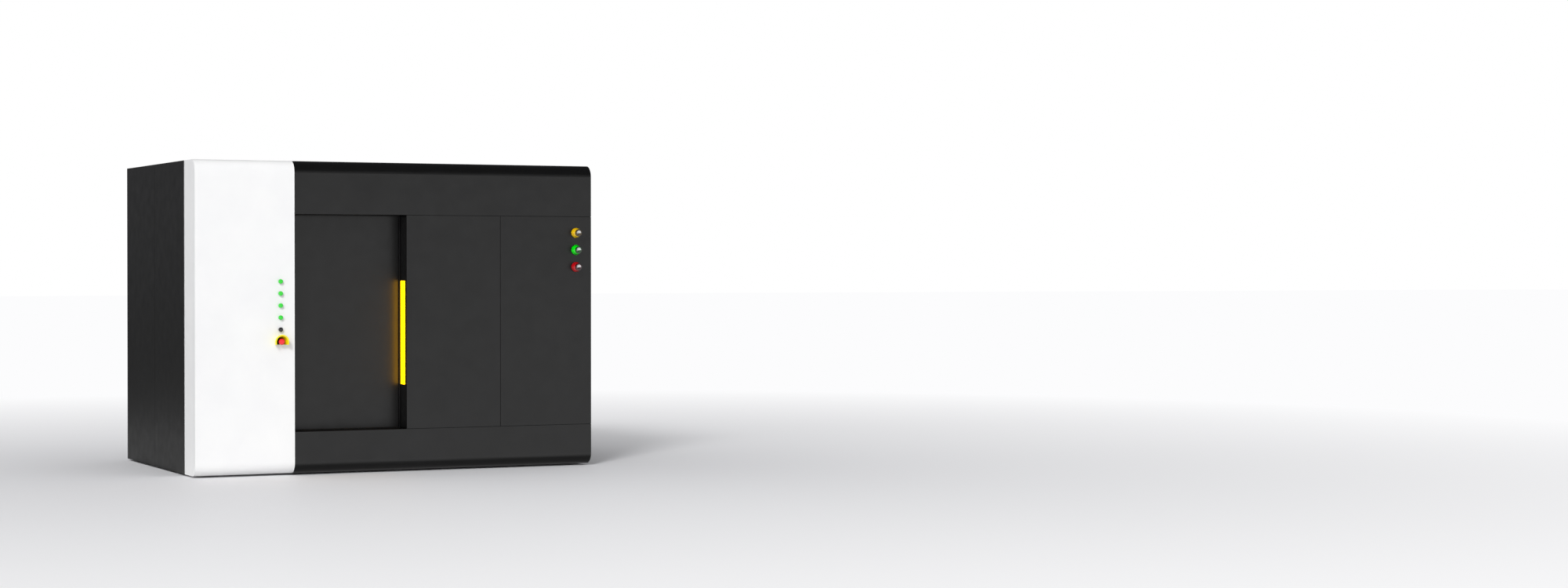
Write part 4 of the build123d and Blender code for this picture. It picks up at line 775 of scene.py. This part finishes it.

# %% [markdown]
# ## Shapes one by one
#
# What doesn't repeat is built from three simple moves: a block with broken edges, a profile
# turned about an axis, and an outline drawn out to a thickness. Real edges are never razor sharp,
# and the thin bright line along a broken edge is what makes a small part look solid.

# %% Block, turned part and drawn outline
def block(bm, low, high, edge=1.0):
    """A block between two corners in millimetres, with its edges broken."""
    a, b = at(*low), at(*high)
    verts = bmesh.ops.create_cube(bm, size=1.0)["verts"]
    for vert in verts:
        vert.co = Vector([(a[i] + b[i]) / 2 + vert.co[i] * (b[i] - a[i]) for i in range(3)])
    bmesh.ops.bevel(bm, geom=list({e for v in verts for e in v.link_edges}), offset=edge / 1000,
                    segments=2, profile=0.5, affect="EDGES", clamp_overlap=True)


def turned(bm, profile, centre, axis, steps=48):
    """Turns a profile of (radius, height) in millimetres about an axis through centre."""
    axis = Vector(axis).normalized()
    side = axis.orthogonal().normalized()
    rings = []
    for radius, height in profile:
        middle = at(*centre) + axis * height / 1000
        if radius < 1e-6:
            rings.append([bm.verts.new(middle)])
            continue
        rings.append([bm.verts.new(middle + Matrix.Rotation(2 * math.pi * i / steps, 3, axis)
                                   @ side * radius / 1000) for i in range(steps)])
    for one, two in zip(rings, rings[1:]):
        for i in range(steps):
            j = (i + 1) % steps
            face = [one[i % len(one)], one[j % len(one)], two[j % len(two)], two[i % len(two)]]
            bm.faces.new(list(dict.fromkeys(face)))


def drawn(bm, outline, origin, across, up, depth):
    """Draws a flat outline, given in millimetres along across and up, to a depth."""
    across, up = Vector(across), Vector(up)
    through = across.cross(up)
    front = [bm.verts.new(at(*origin) + (across * u + up * v) / 1000) for u, v in outline]
    back = [bm.verts.new(v.co + through * depth / 1000) for v in front]
    bm.faces.new(front)
    bm.faces.new(back[::-1])
    for i in range(len(front)):
        j = (i + 1) % len(front)
        bm.faces.new([front[i], back[i], back[j], front[j]])


print("three moves ready")

# %% [markdown]
# A piece is built from one or more of these moves. Points that fall together are joined, faces
# are turned outwards, and rounds are shaded smooth while edges sharper than a given angle stay
# hard.

# %% Build a piece from moves
def made(name, finish, body, *moves, smooth=35):
    """Builds a piece from moves, each a function above with its values, and smooths its rounds."""
    bm = bmesh.new()
    for move, *values in moves:
        move(bm, *values)
    bmesh.ops.remove_doubles(bm, verts=bm.verts, dist=1e-6)
    bmesh.ops.recalc_face_normals(bm, faces=bm.faces)
    mesh = bpy.data.meshes.new(name)
    bm.to_mesh(mesh)
    bm.free()
    mesh.shade_smooth()
    mesh.set_sharp_from_angle(angle=math.radians(smooth))
    return carried(name, mesh, finish, body)


print("hand tools ready")

# %% [markdown]
# ### Where things are
#
# The details below are set against the solids that carry them. Every place is read from the box
# of a solid, in millimetres from the left front corner of the cabinet, and then moved by a real
# distance such as the inset of a screw. If a solid moves, its screws move with it.

# %% Boxes in millimetres
RIGHT, LEFT, FRONT, BACK, UP = (1, 0, 0), (-1, 0, 0), (0, -1, 0), (0, 1, 0), (0, 0, 1)


def span(node):
    """Lowest and highest corner of a solid, in millimetres from the corner of the cabinet."""
    return [Vector(((v.x - corner.x) * 1000, (v.y - corner.y) * 1000, v.z * 1000))
            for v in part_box(node)]


def middle_of(node):
    """The middle of a solid, in the same millimetres."""
    return [(a + b) / 2 for a, b in zip(*span(node))]


def corners(middle_y, middle_z, half_y, half_z, x):
    """Four corner points round a middle, in a plane that faces sideways."""
    return [(x, middle_y + i * half_y, middle_z + j * half_z) for i in (-1, 1) for j in (-1, 1)]


def spread(low, high, inset, count):
    """Even places from one inset end to the other."""
    return [low + inset + (high - low - 2 * inset) * i / (count - 1) for i in range(count)]


def circle(radius, start, stop, step):
    """Points on a circle at angles in degrees, as (across, up)."""
    angles = [math.radians(a) for a in range(start, stop, step)]
    return [(radius * math.cos(a), radius * math.sin(a)) for a in angles]


print("cabinet front in mm:", [round(v) for v in span("upper_fascia")[1]])

# %% [markdown]
# ## Right side: vents
#
# Behind the slots of an exhaust hood sit sloping blades that keep rain and fingers out. An intake
# grille has a wire screen and a filter mat instead. Both are what the eye finds in the dark of
# the slots when it comes close. The hood and the grille are each held by four socket head screws,
# and the inner side of the fan has a guard of wire rings on a cross. Everything here rides on its
# door leaf.

# %% Hoods, grilles and fan guards
hood_width, hood_height, grille_width, grille_height = 280, 200, 380, 240
hood_stand, screw_inset, slot_inset = 10, 11, 22
blades, blade_inset, blade_depth, blade_sheet, blade_tilt = 6, 9.5, 15, 1.5, 35
wire, wire_pitch, wire_inset = 1, 12, 5
mat_edge, mat_front, mat_back = 8, 8, 15
guard_gap, cross_reach, cross_bar = 1.4, 78, 1.1
for place in ("front", "rear"):
    body = place + "_service_door"
    low, high = span("vents_" + place)
    middle = (low.y + high.y) / 2
    hood_x, hood_z = high.x, high.z - hood_height / 2
    grille_x, grille_z = high.x - hood_stand, low.z + grille_height / 2
    screws(f"vent_screws_{place}",
           [spot for x, z, across, up in ((hood_x, hood_z, hood_width, hood_height),
                                          (grille_x, grille_z, grille_width, grille_height))
            for spot in corners(middle, z, across / 2 - screw_inset, up / 2 - screw_inset, x)],
           RIGHT, body)
    pitch = (hood_height - 2 * slot_inset) / blades
    rows(f"hood_blades_{place}", "vent_grey", body,
         start=(hood_x - blade_inset, middle, hood_z - pitch * (blades - 1) / 2),
         step=(0, 0, pitch), count=blades,
         size=(blade_depth, hood_width - 2 * slot_inset, blade_sheet), tilt=(0, blade_tilt, 0))
    wide, tall = grille_width - 2 * slot_inset, grille_height - 2 * slot_inset
    rows(f"screen_uprights_{place}", "screw_steel", body,
         start=(grille_x - wire_inset, middle - wide / 2, grille_z), step=(0, wire_pitch, 0),
         count=wide // wire_pitch + 1, size=(wire, wire, tall + wire_pitch))
    rows(f"screen_levels_{place}", "screw_steel", body,
         start=(grille_x - wire_inset - wire, middle, grille_z - tall / 2),
         step=(0, 0, wire_pitch), count=tall // wire_pitch + 1,
         size=(wire, wide + wire_pitch, wire))
    made(f"filter_mat_{place}", "black_rubber", body, (
        block, (grille_x - mat_back, middle - wide / 2 - mat_edge, grille_z - tall / 2 - mat_edge),
        (grille_x - mat_front, middle + wide / 2 + mat_edge, grille_z + tall / 2 + mat_edge), 2))
    fan_back = low.x - guard_gap
    grow(f"fan_guard_{place}", "guard_wires", "chrome", body, Centre=at(fan_back, middle, hood_z),
         Axis=Vector(RIGHT), Inner=0.016, Gap=0.010, Count=7, Wire=0.0011)
    made(f"fan_guard_cross_{place}", "chrome", body,
         *[(block, (fan_back - 1.0, middle - across, hood_z - up),
            (fan_back + 1.3, middle + across, hood_z + up), 0.4)
           for across, up in ((cross_reach, cross_bar), (cross_bar, cross_reach))])

# %% [markdown]
# ## Right side: hinges and latch
#
# Each hinge plate takes two screws, and so does the plate of the latch. The plates in the middle
# of each hinge belong to the cabinet and the outer ones to the leaf, so their screws ride on
# different bodies. The axis of each hinge lies 40 mm in from the outer end of its fixed plate.

# %% Hinge and latch screws
hinge_low, hinge_high = span("service_hinges")
plate_x, plate_reach, plate_half, leaf_step = 4, 40, 32, 64 / 3
holes = (15, 32)  # from the axis
side_face = span("side_frame")[1].x
levels = [hinge_low.z + plate_half, (hinge_low.z + hinge_high.z) / 2, hinge_high.z - plate_half]
spots = [(reach, z) for z in levels for reach in holes]
for place, axis_y, leaf_side in (("front", hinge_low.y + plate_reach, 1),
                                 ("rear", hinge_high.y - plate_reach, -1)):
    screws(f"hinge_screws_fixed_{place}",
           [(side_face + plate_x, axis_y - leaf_side * reach, z) for reach, z in spots],
           RIGHT, "cabinet", 4.0, 2.0)
    screws(f"hinge_screws_leaf_{place}",
           [(side_face + plate_x, axis_y + leaf_side * reach, z + end * leaf_step)
            for reach, z in spots for end in (-1, 1)], RIGHT, place + "_service_door", 4.0, 2.0)
latch_y, latch_z = middle_of("latch_lever")[1], 1025
latch_plate, latch_hole = 6, 46
screws("latch_plate_screws",
       [(side_face + latch_plate, latch_y, latch_z + end * latch_hole) for end in (-1, 1)],
       RIGHT, "front_service_door", 4.0, 2.0)
made("latch_cap", "screw_steel", "latch",
     (turned, [(0, 0), (7.5, 0), (7.5, 1.2), (6.6, 2.0), (0, 2.0)],
      (span("latch_lever")[1].x, latch_y, latch_z), RIGHT, 32))

# %% [markdown]
# ## Back and roof: panel screws
#
# The trays on the back and on the roof lift off after their screws are taken out. The heads are
# countersunk and end level with the sheet, so they stand only a tenth of a millimetre proud here,
# and the hexagon in each shows the dark coat behind it.

# %% Panel screws
edge, flush, seam = 18, 0.1, 3
low, high = span("rear_panels")
width = (high.x - low.x + seam) / 3
screws("rear_panel_screws", [(low.x + width * i + x, high.y, z) for i in range(3)
                             for x in (edge, width - seam - edge)
                             for z in spread(low.z, high.z, edge, 7)],
       BACK, "cabinet", 6.5, flush, seed=5)
low, high = span("roof_panels")
width = (high.x - low.x + seam) / 2
screws("roof_panel_screws", [(low.x + width * i + x, y, high.z) for i in range(2)
                             for x in (edge, width - seam - edge)
                             for y in spread(low.y, high.y, edge, 6)],
       UP, "cabinet", 6.5, flush, seed=6)

# %% [markdown]
# ## Door and bay
#
# Black rubber lips close the gap between the covers and the sliding door. They are the narrow,
# very dark line beside the yellow light. Behind the door a soft gasket runs round the loading
# opening, and the closing edge of the door carries a hollow safety rubber that stops it when it
# is pressed, with a gap where the key of the interlock leaves the leaf. The lips stay clear of
# the moving leaf.

# %% Lips, gasket and safety rubber
leaf_low, leaf_high = span("door_leaf")
bay_left, bay_right = span("control_column")[1].x, span("pocket_cover")[0].x
bay_bottom, bay_top = span("lower_fascia")[1].z, span("upper_fascia")[0].z


def bars(front, back, edge, sides):
    """One block for each (x from, x to, z from, z to), all of one depth."""
    return [(block, (x0, front, z0), (x1, back, z1), edge) for x0, x1, z0, z1 in sides]


lip, lip_reach, lip_gap = 8, 11, 1.5
made("bay_lips", "black_rubber", "cabinet", *bars(
    leaf_low.y - lip_reach, leaf_low.y - lip_gap, 1.5,
    ((bay_left, bay_left + lip, bay_bottom, bay_top),
     (bay_right - lip, bay_right, bay_bottom, bay_top),
     (bay_left + lip, bay_right - lip, bay_bottom, bay_bottom + lip),
     (bay_left + lip, bay_right - lip, bay_top - lip, bay_top))))

# the opening is 20 mm smaller than the bay, and the gasket stands 10 mm outside its rim
wall_front, inset = span("cabin_front_wall")[0].y, 20 - 10
soft, thick = 18, 8
left, right = bay_left + inset, bay_right - inset
bottom, top = bay_bottom + inset, bay_top - inset
made("opening_gasket", "black_rubber", "cabinet", *bars(wall_front - thick, wall_front, 3, (
    (left - soft, left, bottom, top), (right, right + soft, bottom, top),
    (left - soft, right + soft, bottom - soft, bottom),
    (left - soft, right + soft, top, top + soft))))

key_z, key_gap, rubber_end = 1525, 25, 12
made("door_safety_rubber", "black_rubber", "sliding_door",
     *[(drawn, [(0, 8), (0, 37), (-4, 37), (-7.5, 31), (-8, 22.5), (-7.5, 14), (-4, 8)],
        (leaf_low.x, leaf_low.y, z0), RIGHT, BACK, z1 - z0)
       for z0, z1 in ((leaf_low.z + rubber_end, key_z - key_gap),
                      (key_z + key_gap, leaf_high.z - rubber_end))])

# %% [markdown]
# ## Lip of the yellow light
#
# The lit band reaches further towards the door in the photograph than the diffuser does. A
# moulded lip continues it over the rim of the frame, and a foot carries the lip on the cover
# behind the frame. It takes the finish of the light.

# %% Lip of the light
low, high = span("light_strip")
lip_front, lip_back, frame_back, end_cap = 103.5, 123.5, 109, 5
lip_out, lip_clear, foot_out, foot_in = 0.7, 0.05, 0.4, 1.9
made("light_lip", "light_yellow", "cabinet",
     (block, (low.x - lip_out, lip_front, low.z + end_cap),
      (low.x - lip_clear, lip_back, high.z - end_cap), 0.2),
     (block, (low.x - foot_out, frame_back + 0.2, low.z + end_cap + 1),
      (low.x + foot_in, lip_back - 0.5, high.z - end_cap - 1), 0.2))

# %% [markdown]
# ## Push buttons
#
# The caps are moulded with a slightly domed, smoother lens in the middle and a fine step round
# it. The dome catches the lamp a little above its middle, and that small bright spot is what
# tells the eye that the green is a cap and not a sticker.

# %% Domes of the buttons
dome = [(0, 0), (11.2, 0), (11.2, 0.5), (10.4, 0.9), (7.6, 1.5), (4.0, 1.9), (0, 2.0)]
for index in range(1, 6):
    node, finish = (("black_button", "button_black") if index == 5
                    else (f"green_button_{index}", "button_green"))
    x, _, z = middle_of(node)
    made(f"button_dome_{index}", finish, f"button_{index}",
         (turned, dome, (x, span(node)[0].y, z), FRONT, 40), smooth=25)

# %% [markdown]
# ## Emergency stops
#
# The mushroom head has ribs round its rim so that a hand can turn it back out. Inside the yellow
# guard lies a black plate with the outline of a D. It is painted shade: a dark sheet where the
# inside of the guard lies in shade, nearly black in the photograph, and it makes the head stand
# out. A thin ring of bright metal closes the collar.

# %% Stop heads and the painted shade plates in their guards
rib_count, rib_radius, rib_size = 40, 20.1, (1.2, 1.5, 9.0)
stop_height, shade_plate_lift, shade_plate_sheet, radius, leg = 46.0, 4.0, 1.2, 27.0, 19.0
arc = circle(radius, 0, 181, 12)
ring = [(9.6, 20.0), (17.2, 20.0), (17.2, 20.8), (9.6, 20.8), (9.6, 20.0)]
for name, out, across, sheet in (("front", FRONT, RIGHT, -shade_plate_sheet),
                                 ("side", RIGHT, BACK, shade_plate_sheet)):
    low, high = span("estop_head_" + name)
    crown = Vector(middle_of("estop_head_" + name))
    if name == "front":
        crown.y = low.y
    else:
        crown.x = high.x
    ribs(f"stop_ribs_{name}", "stop_red", "stop_" + name, crown - Vector(out) * rib_size[2], out,
         rib_radius, rib_count, rib_size)
    panel = crown - Vector(out) * stop_height
    # painted shade: a black D plate where the inside of the guard lies in shade
    made(f"stop_plate_{name}", "device_black", "cabinet",
         (drawn, [(-radius, -leg), (radius, -leg)] + arc, panel + Vector(out) * shade_plate_lift,
          across, UP, sheet))
    made(f"stop_collar_ring_{name}", "chrome", "cabinet", (turned, ring, panel, out, 40))

# %% [markdown]
# ## Signal lamps
#
# A bright metal reflector sits in the tip of each lamp under a clear dome. It gives the hard
# white glint in the middle of the lamp. The foot of the lens has fine prisms that spread the
# light, seen as short upright ridges round the base.

# %% Reflectors, domes and prisms
reflector = [(0, -8.4), (4.0, -8.2), (8.2, -7.2), (12.0, -4.6), (15.4, -0.4), (15.8, -0.1),
             (15.9, -0.5), (12.5, -5.2), (8.0, -8.6), (0, -8.8)]
bulb = [(0, -7.8), (2.6, -7.8), (2.6, -4.6), (1.8, -3.2), (0, -2.8)]
lens_length, prism_rise, prism_radius, prism_count = 62, 6.5, 34.6, 48
for colour in ("amber", "green", "red"):
    x, _, z = middle_of("signal_lamp_" + colour)
    face = span("signal_lamp_" + colour)[0].y
    made(f"lamp_reflector_{colour}", "chrome", "cabinet",
         (turned, reflector, (x, face, z), FRONT, 40), smooth=50)
    made(f"lamp_bulb_{colour}", "lens_clear", "cabinet",
         (turned, bulb, (x, face, z), FRONT, 24), smooth=50)
    ribs(f"lamp_prisms_{colour}", "lamp_" + colour, "cabinet",
         (x, face + lens_length - prism_rise, z), FRONT, prism_radius, prism_count,
         (1.6, 2.2, 8.0))

# %% [markdown]
# ## Measuring machine: guide rails and blocks
#
# A guide rail is screwed down every 60 mm, and each screw hole is closed with a flush cap, so
# that the seals of the blocks run over a smooth surface. The seals are the green plates at both
# ends of every block. They ride with their carriage, while the caps stay on the granite.

# %% Rail caps
bed_top, column_face = span("machine_bed")[1].z, span("axis_columns")[0].y
table_y = middle_of("table_carriage")[1]
source_x, detector_x = middle_of("source_carriage")[0], middle_of("detector_carriage")[0]
cap_pitch, rail_tall, half_gauge, lift_gauge = 60, 28, 130, 90
bed_first, bed_caps, lift_first, lift_caps = 670, 19, 590, 20
cap_radius, cap_rise = 5.5, 0.15
lines = [table_y - half_gauge, table_y + half_gauge]
screws("bed_rail_caps",
       [(bed_first + cap_pitch * i, y, bed_top + rail_tall) for i in range(bed_caps)
        for y in lines], UP, "cabinet", cap_radius, cap_rise, "device_black")
screws("column_rail_caps",
       [(x + side * lift_gauge, column_face - rail_tall, lift_first + cap_pitch * i)
        for i in range(lift_caps) for x in (source_x, detector_x) for side in (-1, 1)],
       FRONT, "cabinet", cap_radius, cap_rise, "device_black")

# %% [markdown]
# The end plate is a U that clears the rail. One outline serves the blocks of the table, which run
# along x, and those of the two lifts, which run up.

# %% Seals of the guide blocks
seal, half_block, lift_z, block_lift = 3.0, 42, 1150, 108
outline = [(-28, 8), (-28, 48), (28, 48), (28, 8), (17, 8), (17, 30), (-17, 30), (-17, 8)]
low, high = span("table_carriage")
made("table_block_seals", "seal_green", "table",
     *[(drawn, outline, (x + end, y, bed_top), BACK, UP, seal)
       for y in lines for x in (low.x + half_block, high.x - half_block)
       for end in (-half_block - seal, half_block)])
for body, middle in (("source_lift", source_x), ("detector_lift", detector_x)):
    made(f"{body}_block_seals", "seal_green", body,
         *[(drawn, outline, (x, column_face, z + end), RIGHT, FRONT, -seal)
           for x in (middle - lift_gauge, middle + lift_gauge)
           for z in (lift_z - block_lift, lift_z + block_lift)
           for end in (-half_block - seal, half_block)])

# %% [markdown]
# ## Measuring machine: ball screw
#
# The solid of the screw is a plain rod. The real one has a rolled groove in which the balls run,
# with a steep pitch of 20 mm. Here a slim core carries the land between the grooves as a swept
# ridge, and the two together replace the rod at its full diameter.

# %% Ball screw
low, high = span("ball_screw")
_, screw_y, screw_z = middle_of("ball_screw")
thread_pitch, plain_end = 20, 24
thread_start, thread_end = low.x + plain_end, high.x - plain_end
length = high.x - low.x
core = made("ball_screw_core", "screw_steel", "screw",
            (turned, [(0, 0), (9.2, 0), (10, 0.8), (10, 22), (10.7, 22.5), (10.7, length - 22.5),
                      (10, length - 22), (10, length - 0.8), (9.2, length), (0, length)],
             (low.x, screw_y, screw_z), RIGHT, 40))
thread = grow("ball_screw_thread", "threads", "screw_steel", "screw",
              points=[at(thread_start, screw_y, screw_z)], Radius=0.0112,
              Pitch=thread_pitch / 1000, Turns=(thread_end - thread_start) / thread_pitch,
              Width=0.013, Depth=0.0016, Axis=Vector(RIGHT), Steps=24)
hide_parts("ball_screw")
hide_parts("ball_screw")

# %% [markdown]
# ## Measuring machine: turntable
#
# The platter has engraved circles for centring a sample and a mark every five degrees along its
# edge. The base is bolted to the table at the corners of its flange.

# %% Marks and bolts of the turntable
x, y, _ = middle_of("turntable_platter")
top, foot = span("turntable_platter")[1].z, span("turntable_base")[0].z
for name, radius, count, size in (("platter_marks", 157, 72, (7, 0.7, 0.2)),
                                  ("platter_long_marks", 154, 12, (13, 1.1, 0.24))):
    ribs(name, "device_black", "platter", (x, y, top), UP, radius, count, size)
grow("platter_circles", "guard_wires", "device_black", "platter", Centre=at(x, y, top),
     Axis=Vector(UP), Inner=0.040, Gap=0.0275, Count=5, Wire=0.00025)
bolt_reach, bolt_size, flange = 138, 9, 18
band_inside, band_outside, band_tall = 150.0, 151.5, 6
screws("flange_bolts", [(x + i * bolt_reach, y + j * bolt_reach, foot + flange)
                        for i in (-1, 1) for j in (-1, 1)], UP, "table", bolt_size, bolt_size)
made("turntable_bands", "device_black", "table",
     *[(turned, [(band_inside, z), (band_outside, z), (band_outside, z + band_tall),
                 (band_inside, z + band_tall), (band_inside, z)], (x, y, foot), UP, 72)
       for z in (60, 112)])

# %% [markdown]
# ## X-ray tube and detector
#
# The rear cap of the tube is held by a ring of bolts, with the round high-voltage connector in
# its middle, and the thin exit window sits in a polished ring.

# %% Tube fittings
low, high = span("xray_tube")
tube_y, tube_z = (low.y + high.y) / 2, lift_z
bolt_circle, ring_seat = 60, 4
screws("tube_cap_bolts", [(low.x, tube_y + across, tube_z + up)
                          for across, up in circle(bolt_circle, 15, 375, 45)],
       LEFT, "source_lift", 5, 4)
made("tube_connector", "device_black", "source_lift",
     (turned, [(0, 0), (34, 0), (34, 10), (30, 12), (30, 26), (24, 26), (24, 14), (0, 14)],
      (low.x, tube_y, tube_z), LEFT, 48))
made("tube_window_ring", "chrome", "source_lift",
     (turned, [(26, 0), (37, 0), (37, 2), (35, 3), (27, 3), (26, 2), (26, 0)],
      (high.x - ring_seat, tube_y, tube_z), RIGHT, 48))

# %% [markdown]
# The active face of the detector is a carbon fibre sheet, a tight fit in its frame, with small
# screws all the way round.

# %% Detector fittings
face, (_, y, z) = span("detector_housing")[0].x, middle_of("detector_housing")
half, screw_line, sheet_front, sheet_back = 205, 217, 0.7, 2.0
made("detector_window", "carbon_sheet", "detector_lift",
     (block, (face + sheet_front, y - half, z - half),
      (face + sheet_back, y + half, z + half), 0.2))
steps = [screw_line * step / 3 for step in range(-3, 4)]
screws("detector_frame_screws",
       [(face, y + side * screw_line, z + step) for side in (-1, 1) for step in steps]
       + [(face, y + step, z + side * screw_line) for side in (-1, 1) for step in steps[1:-1]],
       LEFT, "detector_lift", 3, 1.4)

# %% [markdown]
# ## Table drive
#
# Servo motors of this size have a finned housing, because it is their only cooling, and an
# encoder under a cap on the rear end. The fins run along the motor on three of its sides.

# %% Motor fins and encoder cap
motor_end, motor_z = span("axis_motor")[1].x, 542
fin, fin_height, gap, fins, length = 2.0, 3, 6.0, 9, 128
rear_end, fin_middle, flange = 10, 41, 150
fin_x, first = motor_end - rear_end - length / 2, gap * (fins - 1) / 2
rows("motor_fins_top", "motor_black", "cabinet",
     start=(fin_x, screw_y - first, motor_z + fin_middle), step=(0, gap, 0), count=fins,
     size=(length, fin, fin_height))
for name, side in (("left", -1), ("right", 1)):
    rows("motor_fins_" + name, "motor_black", "cabinet",
         start=(fin_x, screw_y + side * fin_middle, motor_z - first), step=(0, 0, gap),
         count=fins, size=(length, fin_height, fin))
made("encoder_cap", "device_black", "cabinet",
     (turned, [(0, 0), (33, 0), (33, 24), (30, 28), (0, 28)], (motor_end, screw_y, motor_z),
      RIGHT, 40))
screws("motor_flange_screws", corners(screw_y, motor_z, 34, 34, motor_end - flange), LEFT,
       "cabinet", 4, 3)

# %% [markdown]
# ## Behind the service doors: control gear
#
# Power supplies and drives all follow one plan: a row of screw terminals along the top of the
# front, a few status lights beside them, and cooling slots below, drawn as thin black strips
# that paint the shade inside the slots. Wiring ducts have comb-like sides with a finger every
# 12 mm. The loop repeats the layout of the solids: four rows, with four and six modules in turn,
# which stand out by three different depths.

# %% Control modules
low, high = span("control_modules")
duct, duct_gap, row_pitch, module_height, side_gap = 60, 30, 310, 200, 10
terminal_pitch, slot_pitch, finger_pitch, light_pitch, light_room = 9, 9, 12, 11, 60
shallow, depth_step, strip_drop, strip_inset, slot_inset = 110, 45, 16, 14, 22
low_y, high_y = low.y - side_gap, high.y + side_gap
row_count = round((high.z - low.z - duct - duct_gap - module_height) / row_pitch) + 1
lights = []
for row in range(row_count):
    count = 4 + 2 * (row % 2)
    width = (high_y - low_y) / count
    level = low.z + row * row_pitch + duct + duct_gap
    for index in range(count):
        face = low.x + shallow + depth_step * ((index + row) % 3)
        middle, half = low_y + width * (index + 0.5), width / 2 - side_gap
        tag, strip = f"{row + 1}_{index + 1}", level + module_height - strip_drop
        rows(f"terminals_{tag}", "terminal_grey", "cabinet",
             start=(face + 4, middle - half + strip_inset, strip), step=(0, terminal_pitch, 0),
             count=int((2 * half - light_room) // terminal_pitch), size=(8, 7.5, 18))
        # painted shade: thin black strips on the face stand for the dark inside of the cooling
        # slots
        rows(f"cooling_slots_{tag}", "device_black", "cabinet",
             start=(face + 0.2, middle, level + slot_inset), step=(0, 0, slot_pitch), count=9,
             size=(0.6, 2 * half - 2 * slot_inset, 3.2))
        lights += [(face, middle + half - strip_inset - light_pitch * step, strip)
                   for step in range(3)]
screws("status_lights", lights, RIGHT, "cabinet", 2.6, 1.2, "indicator")
rows("duct_fingers", "duct_grey", "cabinet",
     start=(low.x + duct + 0.6, low.y + 6, low.z + duct / 2), step=(0, finger_pitch, 0),
     count=int((high.y - low.y) // finger_pitch), size=(1.2, 7.5, duct - 12),
     row_step=(0, 0, row_pitch), row_count=row_count)

# %% [markdown]
# The generator is cooled through louvres at its foot. Its two high-voltage sockets are deep cups
# with a copper contact at the bottom and a bright clamping ring at the mouth, empty because no
# cable shows. Each cup is drawn as a black disc inside its ring, painted shade for the dark depth
# of the bore, with the copper contact laid on it.

# %% Generator
low, high = span("hv_generator")
length = high.y - low.y
louvre_foot, louvre_pitch, louvre_inset = 40, 14, 70
screw_inset, screw_drop, screw_step = 24, 65, 280
rows("generator_louvres", "generator_paint", "cabinet",
     start=(high.x + 2, low.y + length / 2, low.z + louvre_foot), step=(0, 0, louvre_pitch),
     count=9, size=(8, length - 2 * louvre_inset, 1.6), tilt=(0, 32, 0))
for number in (1, 2):
    mouth = ((low.x + high.x) / 2, low.y + length * number / 3, high.z)
    for part, finish, steps, profile in (
            ("ring", "chrome", 48,
             [(26, 0), (37, 0), (37, 5), (35, 7), (28, 7), (26, 5), (26, 0)]),
            # painted shade: a flat black disc stands for the dark inside of the deep cup
            ("bore_shade", "device_black", 40, [(0, 0.2), (26, 0.2), (26, 1.2), (0, 1.2)]),
            ("contact", "copper", 32, [(0, 1.2), (7, 1.2), (7, 2.4), (5, 3.4), (0, 3.4)])):
        made(f"socket_{part}_{number}", finish, "cabinet", (turned, profile, mouth, UP, steps))
screws("generator_screws", [(high.x, y, high.z - screw_drop - screw_step * j)
                            for y in spread(low.y, high.y, screw_inset, 5) for j in (0, 1)],
       RIGHT, "cabinet", 4.5, 2.2)

# %% [markdown]
# ## Levelling feet
#
# The stems of the feet are threaded rods. The thread shows between the nut and the beam.

# %% Threads of the feet
low, high = span("levelling_feet")
half_foot, stem, nut_top = 50, 12, 40
grow("foot_threads", "threads", "screw_steel", "cabinet",
     points=[at(x, y, nut_top) for x in spread(low.x, high.x, half_foot, 4)
             for y in (low.y + half_foot, high.y - half_foot)],
     Radius=stem / 1000, Pitch=0.003, Turns=9.0, Width=0.0012, Depth=0.0012, Axis=Vector(UP),
     Steps=16)
